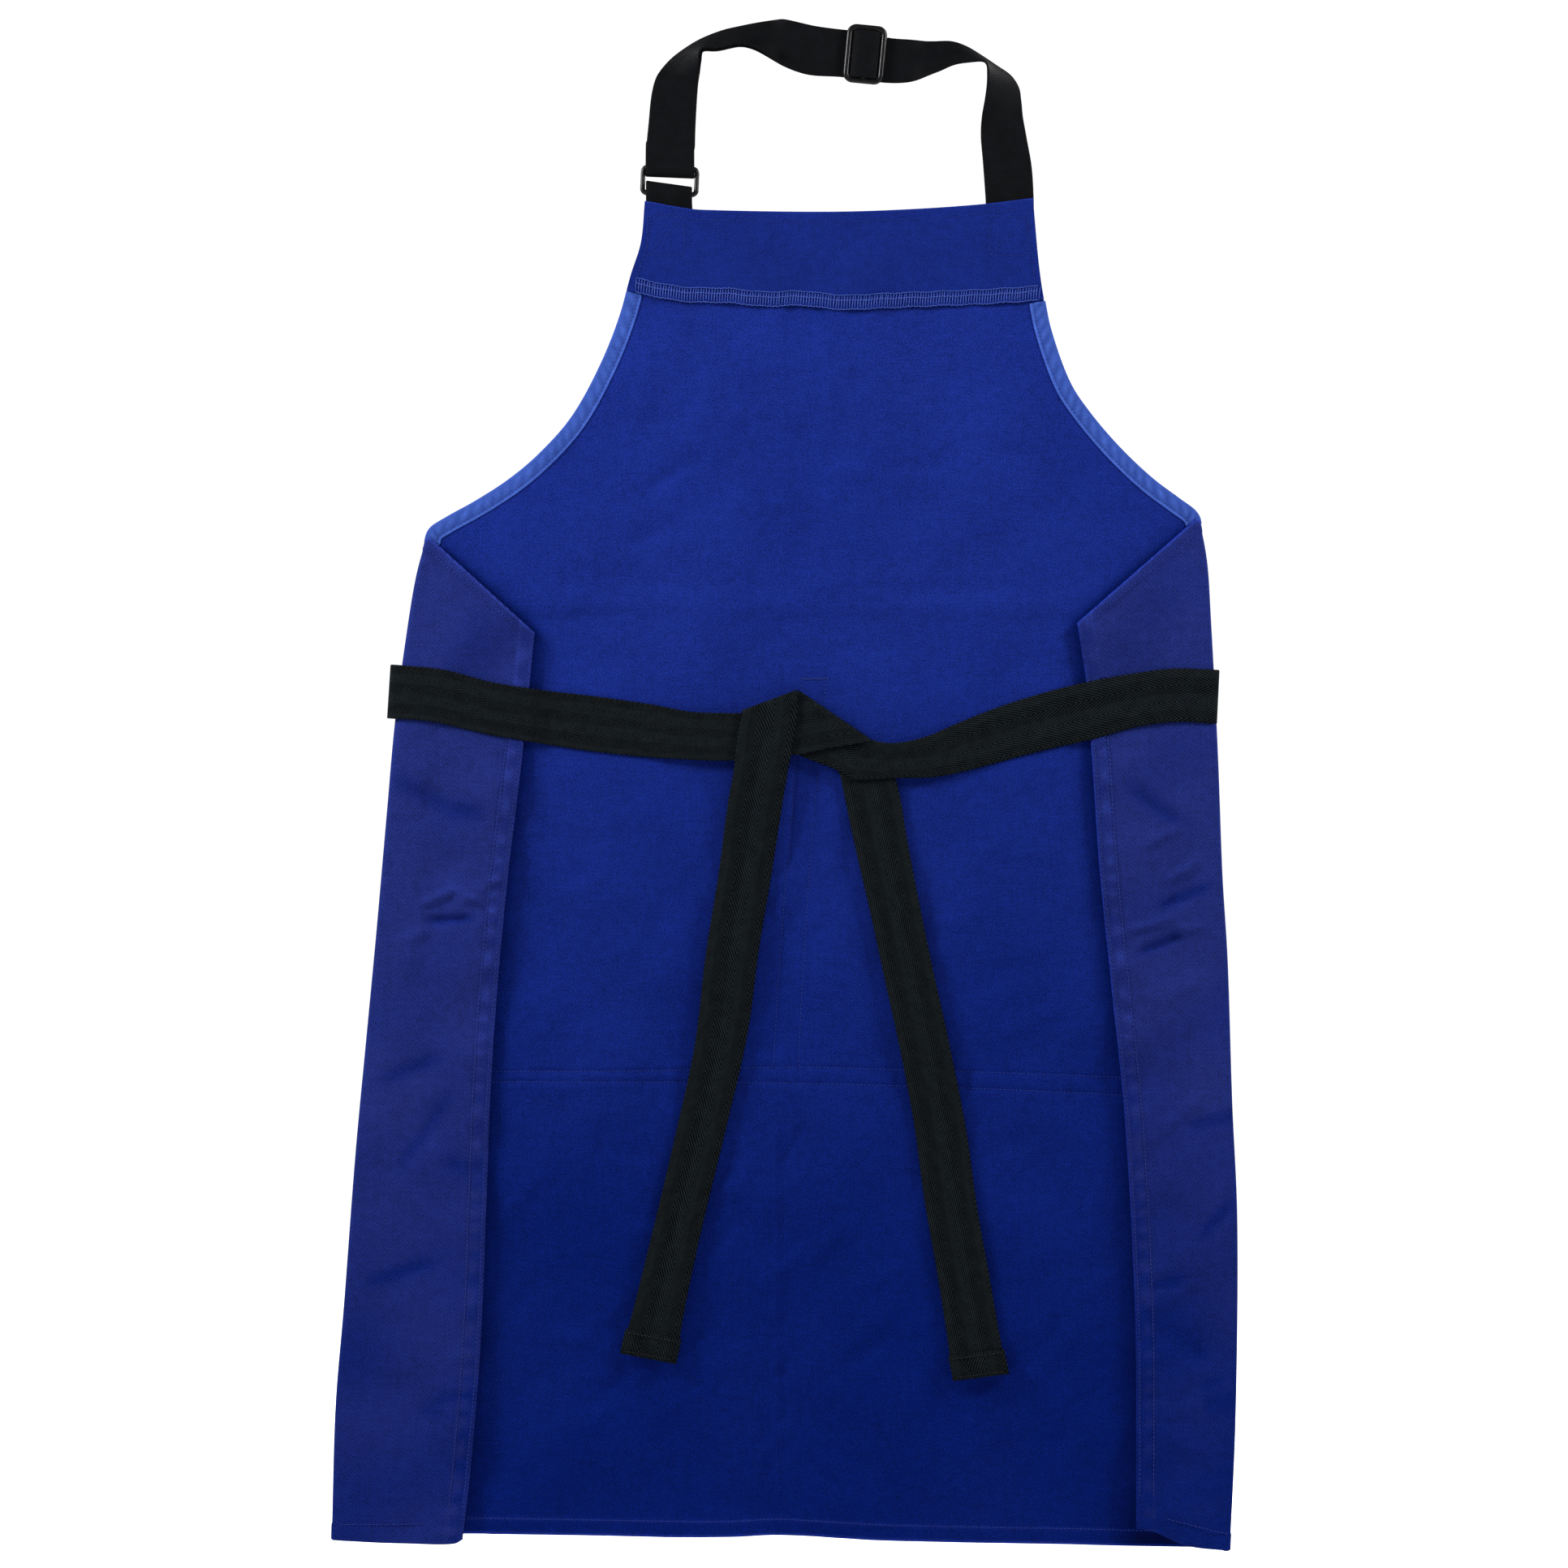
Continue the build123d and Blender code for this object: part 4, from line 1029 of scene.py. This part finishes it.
pocket_width, pocket_height = POCKET_X[1] - POCKET_X[0], POCKET_Z[1] - POCKET_Z[0]
up = spaced(pocket_height, 4.0)
x, z = np.meshgrid(POCKET_X[0] + spaced(pocket_width, 4.0), POCKET_Z[0] + up)
z = z + 0.9 * np.sin(x / 47.0) * (1 - up[:, None] / pocket_height)
from_side = np.minimum(x - POCKET_X[0], POCKET_X[1] - x)
inset = np.minimum(from_side, np.minimum(z - POCKET_Z[0], (POCKET_Z[1] - z) * 0.8))
bow = pocket_bow(x, z)
y = panel_y(x, z) + POCKET_LIFT + bow + 0.25 * small(x * 1.4, z * 1.4) * ease(bow / 2)
tone_wear_and_shade = 0.8 + 0.7 * bell(inset, 0.9) + 0.3 * bell(inset - 9.5, 1.2)
pocket = sheet(
    "pocket_cloth", xyz(x, y, z), CLOTH + HEM_GROWTH * hemmed(inset), np.stack([x, z], 2), tone_wear_and_shade
)
dress(pocket, outer_twill, "pocket_panel")

pocket_rows = [
    POCKET_ROW_UPPER,
    POCKET_ROW_LOWER,
    DIVIDER_LEFT,
    DIVIDER_RIGHT,
    [(-196.5, 306.0), (-196.5, 430.0), (-196.5, 560.0)],
    [(226.5, 306.0), (226.5, 430.0), (226.5, 560.0)],
]
rows = []
for k, row in enumerate(pocket_rows):
    rows += stitches(on_cloth(row, worn_face), -1, seed=20 + k)
    rows += stitches(on_cloth(row, pocket_face), 1, seed=30 + k)
sew("pocket_stitches", rows, 0.26, blue_thread, "pocket_stitching")

tacks = []
for left, right in ((-198.5, -189.5), (11.0, 28.0), (219.5, 228.5)):
    for side in (-1, 1):
        face = CLOTH / 2 - 0.06 if side < 0 else POCKET_LIFT + HEM_CLOTH / 2
        for px in np.arange(left, right, 0.8):
            pz = np.array([562.0, 562.6, 563.4, 564.0])
            py = panel_y(np.full(4, px), pz) + side * (face + np.array([0.0, 0.2, 0.2, 0.0]))
            tacks.append(xyz(np.array([px, px + 0.2, px + 0.5, px + 0.7]), py, pz))
sew("bar_tack_threads", tacks, 0.24, blue_thread, "bar_tacks")

# ---- waist ties and their knot ----
# (x, z) of the upper edge and of the lower edge of each tie, from its fold to the knot.
LEFT_TIE = [
    (-248, 571.3, -250.4, 538), (-220.5, 568.6, -226, 535.6), (-188, 560.3, -193, 528),
    (-157, 555.5, -161, 522.3), (-121, 551.2, -125, 516.8), (-85, 546, -88.5, 512.9),
    (-61, 541.5, -63, 511.3), (-42, 540.6, -43, 510.5), (-24, 541, -27, 511), (-8, 546, -9, 512.5),
    (4, 551.5, 10, 514.6), (8.6, 553.6, 33, 519.2),
]
LEFT_TIE_FOLD = ((8.9, 553.6), (54.5, 522.6))
RIGHT_TIE = [
    (277.2, 568.4, 275.6, 534.9), (252, 569.2, 252, 535.6), (221.5, 565.4, 226.5, 532),
    (192, 559.7, 199.5, 524.4), (158, 550.7, 166, 516.8), (135, 543, 144, 511),
    (112.4, 534, 121, 504.8), (92, 525.4, 97, 499.9), (74, 521.4, 73, 499.3), (62, 521.9, 57, 498.4),
    (51, 525.5, 45, 498.4), (38, 532.5, 34, 504.6), (25, 540, 15.5, 511.8), (15, 547, -4, 520),
]
RIGHT_TIE_FOLD = ((8.8, 553.9), (-26.4, 540.8))
A_LEVEL, B_LEVEL, BACK_LEVEL, FRONT_LEVEL = -7.6, -5.2, -3.0, -9.9
LEFT_TIE_SLOPE, RIGHT_TIE_SLOPE = math.radians(-3.7), math.radians(-2.7)
LEFT_TURN, RIGHT_TURN = (-250.4, 554.6), (275.6, 551.6)
TIE_RADIUS = 4.6
ANCHOR = 42.0


def round_fold(turn, slope, inward):
    """Edges of the tape from its sewn end on the outer side, round the fold, to the worn side."""
    across = np.array([-math.sin(slope), 0.0, math.cos(slope)])
    along = np.array([math.cos(slope), 0.0, math.sin(slope)])
    outer = np.linspace(ANCHOR, 2.0, 14)
    angle = np.linspace(0, math.pi, 13)
    reach = np.concatenate([outer, -TIE_RADIUS * np.sin(angle)])
    depth = np.concatenate([np.full(14, 1.0), np.cos(angle)]) * TIE_RADIUS - FOLD_RADIUS
    centre = np.array([turn[0], 0.0, turn[1]]) + inward * reach[:, None] * along
    centre[:, 1] = depth
    return centre + across * TAPE_WIDTH / 2, centre - across * TAPE_WIDTH / 2


def lay_on_cloth(upper, lower, knot_level, knot_x, inward):
    """Depth of a tie: bridging over the cloth below it, and rising to the knot."""
    centre = (upper + lower) / 2
    under = np.full(len(centre), 9.0)
    for t in np.linspace(0, 1, 7):
        p = upper * (1 - t) + lower * t
        under = np.minimum(under, top_of_cloth(p[:, 0], p[:, 1]))
    spread = np.array([under[max(0, i - 5):i + 6].min() for i in range(len(under))])
    kernel = np.hanning(13)
    padded = np.concatenate([np.full(6, spread[0]), spread, np.full(6, spread[-1])])
    rest = np.convolve(padded, kernel / kernel.sum(), "valid") - 0.85
    near = ease((105.0 - inward * (knot_x - centre[:, 0])) / 90.0)
    return rest * (1 - near) + knot_level * near


def tie_edges(pairs, turn, slope, level, inward, knot_x):
    """Both edges of a tie as 3-D points, from the sewn end to the knot."""
    flat = curve(pairs, 150)
    upper, lower = flat[:, :2], flat[:, 2:]
    depth = lay_on_cloth(upper, lower, level, knot_x, inward)
    leave = ease(np.arange(len(depth)) / 22.0)
    depth = (-FOLD_RADIUS - TIE_RADIUS) * (1 - leave) + depth * leave
    front_u = xyz(upper[:, 0], depth, upper[:, 1])
    front_l = xyz(lower[:, 0], depth, lower[:, 1])
    turn_u, turn_l = round_fold(turn, slope, inward)
    both = np.vstack([np.hstack([turn_u, turn_l]), np.hstack([front_u, front_l])[6:]])
    return both[:, :3], both[:, 3:]


def fold_back(line, level_from, level_to, outward, steps=9):
    """Stations of a tape turning over a fold line, from one depth to another."""
    a, b = np.array(line[0], float), np.array(line[1], float)
    angle = np.linspace(0, math.pi, steps)
    radius = abs(level_to - level_from) / 2
    middle = (level_to + level_from) / 2
    out = np.array(outward, float) / np.hypot(*outward)
    edges = []
    for end in (a, b):
        flat = end + (np.sin(angle) * radius * 0.7)[:, None] * out
        depth = middle + (level_from - middle) * np.cos(angle)
        edges.append(xyz(flat[:, 0], depth, flat[:, 1]))
    return edges


def join(*stations):
    """Joins runs of (upper, lower) stations and evens them out."""
    both = np.vstack([np.hstack(s) for s in stations])
    keep = np.concatenate([[True], np.linalg.norm(np.diff(both, axis=0), axis=1) > 0.3])
    return both[keep][:, :3], both[keep][:, 3:]


upper, lower = tie_edges(LEFT_TIE, LEFT_TURN, LEFT_TIE_SLOPE, A_LEVEL, 1, 0.0)
fold = fold_back(LEFT_TIE_FOLD, A_LEVEL, BACK_LEVEL, (0.52, 0.85))
behind = curve([(9.5, 553.0, 59.8, 521.5), (17.0, 540.0, 63.0, 514.0), (24.0, 527.0, 66.0, 508.0)], 12)
tuck = [
    xyz(behind[:, k], BACK_LEVEL, behind[:, k + 1]) for k in (0, 2)
]
upper, lower = join((upper, lower), fold, tuck)
lay("left_waist_tie", lower, upper, TAPE, tie_tape, "left_tie", "waist_knot")

upper, lower = tie_edges(RIGHT_TIE, RIGHT_TURN, RIGHT_TIE_SLOPE, B_LEVEL, -1, 40.0)
lay("right_waist_tie", upper, lower, TAPE, tie_tape, "right_tie", "waist_knot")

# (x, z) of the left edge and of the right edge of each hanging tail, from the knot to its end.
LEFT_TAIL = [
    (-26.6, 540.2, 8.7, 553), (-28.6, 531, 8, 540), (-30.6, 516, 5.2, 521), (-32.3, 502, 2.3, 504.5),
    (-35.6, 483.8, -0.9, 485.5), (-42.1, 435.2, -8.3, 438), (-50, 386, -16.3, 390),
    (-57.2, 327, -24, 333.5), (-71, 263, -38.2, 271), (-87.2, 195, -54.6, 203), (-99.6, 146, -66, 148),
    (-105.4, 128.4, -69.8, 121.6),
]
RIGHT_TAIL = [
    (20, 530, 63.5, 514), (29, 515, 68, 504), (35.8, 502.9, 71.9, 497.5), (38.6, 491.5, 75, 484.6),
    (44.5, 462.9, 79.3, 458.5), (57.8, 404.5, 91, 398), (66.2, 365.5, 99.4, 359),
    (73.6, 332, 106.6, 326), (84.2, 277, 117.4, 271), (91.2, 226, 124.6, 220), (99.4, 179, 133, 173),
    (106.2, 135, 140.6, 130.5), (109.3, 110.8, 144.8, 115.4),
]


def tail_depth(z, phase, knot_level):
    """Depth of a hanging tail: leaving the knot, then lying in gentle waves over the cloth."""
    wave = 0.9 * np.sin(z / 41.0 + phase) + 0.5 * np.sin(z / 17.0 + 2 * phase)
    rest = -4.6 + wave
    near = ease((z - 440.0) / 70.0)
    return rest * (1 - near) + knot_level * near


def make_tail(side, pairs, phase, knot_level, lean, start=None):
    """A tail hanging from the knot, with its end folded up over itself and sewn across."""
    flat = curve(pairs, 190)
    left = xyz(flat[:, 0], tail_depth(flat[:, 1], phase, knot_level), flat[:, 1])
    right = xyz(flat[:, 2], tail_depth(flat[:, 3] + 6, phase + 0.25, knot_level), flat[:, 3])
    if start:
        left, right = join(start, (left, right))
    body = side + "_tie_tail"
    made = lay(body + "_tape", left, right, TAPE, tie_tape, side + "_tail", body=None, crown=0.2)
    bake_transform(made)

    tips = np.array(pairs[-1]).reshape(2, 2)
    rise = np.array([-1.0, 0.0, 2.0, 6.0, 10.0, 13.5, 14.5])
    bulge = np.array([0.3, -0.4, -1.15, -1.25, -1.25, -1.15, -1.05])
    edges = []
    for tip in tips:
        z = tip[1] + rise
        edges.append(xyz(tip[0] + lean * rise, tail_depth(z, phase, knot_level) + bulge - 0.15, z))
    lay(side + "_tail_end", edges[0], edges[1], TAPE * 0.9, tie_tape, body=body)
    rows = []
    for inset, drop in ((1.0, 1.9), (13.0, 2.2)):
        low, high = tips + (inset * lean, inset)
        x, z = (low + (high - low) * np.linspace(0.05, 0.95, 12)[:, None]).T
        rows += stitches(xyz(x, tail_depth(z, phase, knot_level) - drop, z), seed=40)
    sew(side + "_tail_end_stitches", rows, 0.24, black_thread, body=body)


tail_start = fold_back((RIGHT_TIE_FOLD[1], RIGHT_TIE_FOLD[0]), B_LEVEL, FRONT_LEVEL, (-0.35, 0.94))
behind = [
    np.array([[-20.0, B_LEVEL, 535.0], [-24.0, B_LEVEL, 538.5]]),
    np.array([[11.0, B_LEVEL, 549.5], [9.6, B_LEVEL, 552.0]]),
]
make_tail("left", LEFT_TAIL, 0.4, FRONT_LEVEL, 0.23, join(behind, tail_start))
make_tail("right", RIGHT_TAIL, 2.1, BACK_LEVEL, -0.2)


# ---- sewn boxes ----
def sewn_box(centre, slope, width, height, face, seed):
    """Rows of a sewn box with a cross, on the outer side."""
    w, h = width / 2, height / 2
    corners = np.array([(-w, -h), (w, -h), (w, h), (-w, h), (-w, -h), (w, h), (w, -h), (-w, h)])
    turn = np.array([[math.cos(slope), math.sin(slope)], [-math.sin(slope), math.cos(slope)]])
    at = corners @ turn + centre
    made = []
    for a, b in zip(at[:-1], at[1:]):
        line = a + (b - a) * np.linspace(0, 1, 12)[:, None]
        made += stitches(xyz(line[:, 0], face, line[:, 1]), 1, seed=seed)
    return made


anchor_rows = []
for turn, slope, inward in ((LEFT_TURN, LEFT_TIE_SLOPE, 1), (RIGHT_TURN, RIGHT_TIE_SLOPE, -1)):
    reach = inward * (ANCHOR - 16.0)
    centre = (turn[0] + reach * math.cos(slope), turn[1] + reach * math.sin(slope))
    anchor_rows += sewn_box(centre, slope, 24.0, 24.0, TIE_RADIUS - FOLD_RADIUS + TAPE / 2, 50)
sew("tie_anchor_stitches", anchor_rows, 0.26, black_thread, "tie_anchor_stitching")

# ---- neck strap ----
# (x, z) of the outer and of the inner edge, from the sewn end at the right, over the crown, to the ring.
STRAP = [
    (161.4, 840, 131.6, 840), (161.2, 862, 131.4, 860), (161, 876, 131, 873), (159.6, 896, 129.2, 898),
    (156.3, 914.5, 127.9, 914.5), (154.3, 927, 128.4, 926.5), (153.6, 938.5, 130.1, 937.5),
    (152.1, 947.3, 131.2, 946.5), (147, 955.2, 131.4, 953.5), (138, 961.8, 130.9, 958.6),
    (128.5, 968.2, 128, 961), (118.5, 974, 119.5, 960.7), (109, 977, 109.9, 959.3),
    (97, 976.8, 98.5, 954.7), (83, 976.5, 83, 950), (67.3, 977.6, 66, 949.4), (53, 981.4, 50, 951.7),
    (38, 982.8, 36.5, 953.4), (20, 985.2, 15.5, 954.9), (5.5, 988.5, 0.5, 960),
    (-3.9, 990.3, -10.4, 966.1), (-13.3, 989.7, -19.8, 970.7), (-27.3, 987.3, -29, 972.3),
    (-41.4, 983.9, -43, 969.6), (-55.5, 978.2, -51.5, 969.4), (-65.8, 971.7, -54.2, 967.6),
    (-74.2, 964.6, -54.9, 962), (-81, 955.5, -55.7, 953.5), (-84.8, 943.5, -56.6, 942.5),
    (-87.2, 922, -57.8, 921), (-88.6, 908, -58.2, 907),
]
flat = curve(STRAP, 330)
gap = np.hypot(flat[:, 0] - flat[:, 2], flat[:, 1] - flat[:, 3])
gap = np.minimum(gap, WEBBING_WIDTH)
lean = np.sqrt(WEBBING_WIDTH**2 - gap**2) * ease((WEBBING_WIDTH - gap - 2.0) / 5.0)
lean = np.convolve(np.pad(lean, 5, mode="edge"), np.hanning(11) / np.hanning(11).sum(), "valid")
outer = xyz(flat[:, 0], STRAP_Y + lean / 2, flat[:, 1])
inner = xyz(flat[:, 2], STRAP_Y - lean / 2, flat[:, 3])
# (depth, height) of the turn round the ring's upper bar
TURN_PATH = [
    (1.7, 907), (1, 902), (-0.6, 897), (-0.9, 893), (-0.4, 889.6), (1.7, 887.9), (3.8, 889.6),
    (4.3, 893), (4.1, 897), (3.5, 903), (3.4, 910),
]
turn = curve(TURN_PATH, 34)[1:]
turn_outer = xyz(-89.0, turn[:, 0], turn[:, 1] + 0.65)
turn_inner = xyz(-58.6, turn[:, 0], turn[:, 1] - 0.65)
outer, inner = join((outer, inner), (turn_outer, turn_inner))
strap = lay(
    "neck_strap_webbing", outer, inner, WEBBING, strap_webbing, "neck_strap", "strap_end", body=None
)
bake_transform(strap)

back = np.arange(len(flat))[flat[:, 0] < 47.0]
facing_way = np.gradient(flat[:, :2] + flat[:, 2:], axis=0)[back]
across = (outer - inner)[back]
along = xyz(facing_way[:, 0], 0, facing_way[:, 1])
behind = np.cross(across, along)
behind = unit(behind) * np.sign(behind[:, 1:2]) * (WEBBING + 0.4)
strap_back = lay(
    "strap_return_webbing", outer[back] + behind, inner[back] + behind, WEBBING,
    strap_webbing, "strap_return", body=None,
)
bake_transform(strap_back)

# ---- ring tab ----
TAB_PATH = [
    (1.15, 840), (1.15, 856), (1.1, 866), (-0.1, 871.5), (-1.35, 876), (-1.2, 880), (0.1, 883),
    (1.7, 883.8), (3.4, 883), (4.6, 880), (4.75, 876), (3.5, 870.5), (2.5, 865), (2.45, 856),
    (2.45, 840),
]
path = curve(TAB_PATH, 80)
rise = np.maximum(path[:, 1] - NECK_AXIS, 0.0)
pinch = 0.4 * ease((path[:, 1] - 864.0) / 9.0)
tab_left = xyz(pinch - 89.2, path[:, 0], path[:, 1] + 0.2 * rise)
tab_right = xyz(-59.6 - pinch, path[:, 0], path[:, 1] - 0.4 * rise)
lay("ring_tab_webbing", tab_left, tab_right, WEBBING * 0.9, strap_webbing, "ring_tab")

strap_rows = sewn_box((-74.3, 855.0), 0.0, 22.0, 22.0, 3.1, 60)
strap_rows += sewn_box((146.4, 855.0), 0.0, 22.0, 22.0, 2.4, 61)
sew("strap_box_stitches", strap_rows, 0.26, black_thread, "strap_stitching")

# ---- slider ----
SLIDER_CENTRE = np.array([52.5, 0.0, 967.0])
SLIDER_TILT = math.radians(-5.5)
HUMP = [
    (-9, 0.4), (-8.2, -0.8), (-5.6, -2.6), (-3, -3.2), (0, -3.3), (3, -3.2), (5.6, -2.6), (8.2, -0.8),
    (9, 0.4),
]
path = curve(HUMP, 40)
along = np.array([math.cos(SLIDER_TILT), 0, math.sin(SLIDER_TILT)])
across = np.array([-math.sin(SLIDER_TILT), 0, math.cos(SLIDER_TILT)])
centre = SLIDER_CENTRE + path[:, 0:1] * along
centre[:, 1] = path[:, 1]
half = across * WEBBING_WIDTH / 2
lay(
    "slider_strap_hump", centre + half, centre - half, WEBBING,
    strap_webbing, "slider_webbing", body="slider",
)


def rail(path, half_width, half_depth, closed):
    """Points and faces of a moulded bar with an oval section, along a path in the slider's plane."""
    sides = 14
    turn = np.linspace(0, 2 * math.pi, sides, endpoint=False)
    step = np.roll(path, -1, 0) - np.roll(path, 1, 0) if closed else np.gradient(path, axis=0)
    step = unit(step)
    side = np.stack([-step[:, 1], step[:, 0]], 1)
    reach = half_width * np.cos(turn)
    flat = path[:, None] + side[:, None] * reach[None, :, None]
    depth = np.broadcast_to(half_depth * np.sin(turn), flat.shape[:2])
    points = SLIDER_CENTRE + flat[..., 0:1] * along + flat[..., 1:2] * across
    points[..., 1] += depth + SLIDER_DEPTH
    return points.reshape(-1, 3), skin(len(path), sides, closed)


SLIDER_DEPTH = -0.75
HALF_W, HALF_H, CORNER = 11.3, 17.2, 4.4
quarter = np.linspace(0, math.pi / 2, 8)
loop = []
for k, (cx, cz) in enumerate(((1, 1), (-1, 1), (-1, -1), (1, -1))):
    angle = quarter + k * math.pi / 2
    arc_x = cx * (HALF_W - CORNER) + CORNER * np.cos(angle)
    arc_z = cz * (HALF_H - CORNER) + CORNER * np.sin(angle)
    loop.append(np.stack([arc_x, arc_z], 1))
rim_points, rim_faces = rail(np.vstack(loop), 1.85, 1.5, True)
bar = np.stack([np.zeros(9), np.linspace(-HALF_H, HALF_H, 9)], 1)
bar_points, bar_faces = rail(bar, 1.9, 1.2, False)
shift = len(rim_points)
frame_faces = rim_faces + [tuple(v + shift for v in face) for face in bar_faces]
moulded = build("slider_frame_moulding", np.vstack([rim_points, bar_points]), frame_faces)
dress(moulded, black_plastic, "slider_frame", body="slider")

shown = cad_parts["ring"]
shown.data.materials.clear()
shown.data.materials.append(black_metal)

# ---- floor, light and camera ----
bpy.ops.mesh.primitive_plane_add(size=14.0, location=(0, 0, -0.03))
floor = bpy.context.object
floor.name = "floor"
paper = Shader("pale_floor")
camera_only = paper.node("ShaderNodeLightPath", output=0)
paper.finish((0.92, 0.92, 0.92, 1.0), 0.9, None, 0.1)
paper.put(paper.surface.inputs["Emission Color"], (1.0, 1.0, 1.0, 1.0))
paper.put(paper.surface.inputs["Emission Strength"], camera_only)
floor.data.materials.append(paper.material)

world = bpy.data.worlds.new("studio")
bpy.context.scene.world = world
world.use_nodes = True
tree = world.node_tree
background = tree.nodes["Background"]
path_kind = tree.nodes.new("ShaderNodeLightPath")
level = tree.nodes.new("ShaderNodeMapRange")
level.inputs["To Min"].default_value = 0.12
level.inputs["To Max"].default_value = 1.05
tree.links.new(path_kind.outputs["Is Camera Ray"], level.inputs["Value"])
tree.links.new(level.outputs["Result"], background.inputs["Strength"])
background.inputs["Color"].default_value = (1.0, 1.0, 1.0, 1.0)


def softbox(name, place, aim, size, watts):
    """A square area light aimed at a point."""
    lamp = bpy.data.lights.new(name, "AREA")
    lamp.size = size
    lamp.energy = watts
    made = bpy.data.objects.new(name, lamp)
    made.location = place
    made.rotation_mode = "QUATERNION"
    made.rotation_quaternion = (Vector(aim) - Vector(place)).to_track_quat("-Z", "Y")
    bpy.context.scene.collection.objects.link(made)


CHEST, MIDDLE = (0.0, 0.0, 0.7), (0.0, 0.0, 0.6)
softbox("left_softbox", (-1.15, -0.55, 1.3), CHEST, 0.4, 19.5)
softbox("right_softbox", (1.15, -0.55, 1.3), CHEST, 0.4, 14.0)
softbox("rear_left_softbox", (-1.3, 1.3, 1.3), MIDDLE, 0.9, 16.0)
softbox("rear_right_softbox", (1.3, 1.3, 1.3), MIDDLE, 0.9, 20.0)

LENS = 120.0                        # long, as in a catalogue photo
CAMERA_PLACE = (0.0, -3.381, 0.4951)
lens = bpy.data.cameras.new("camera")
lens.lens = LENS
camera = bpy.data.objects.new("camera", lens)
camera.location = CAMERA_PLACE
camera.rotation_euler = (math.radians(90), 0, 0)
bpy.context.scene.collection.objects.link(camera)
bpy.context.scene.camera = camera
bpy.context.scene.view_settings.view_transform = "Standard"
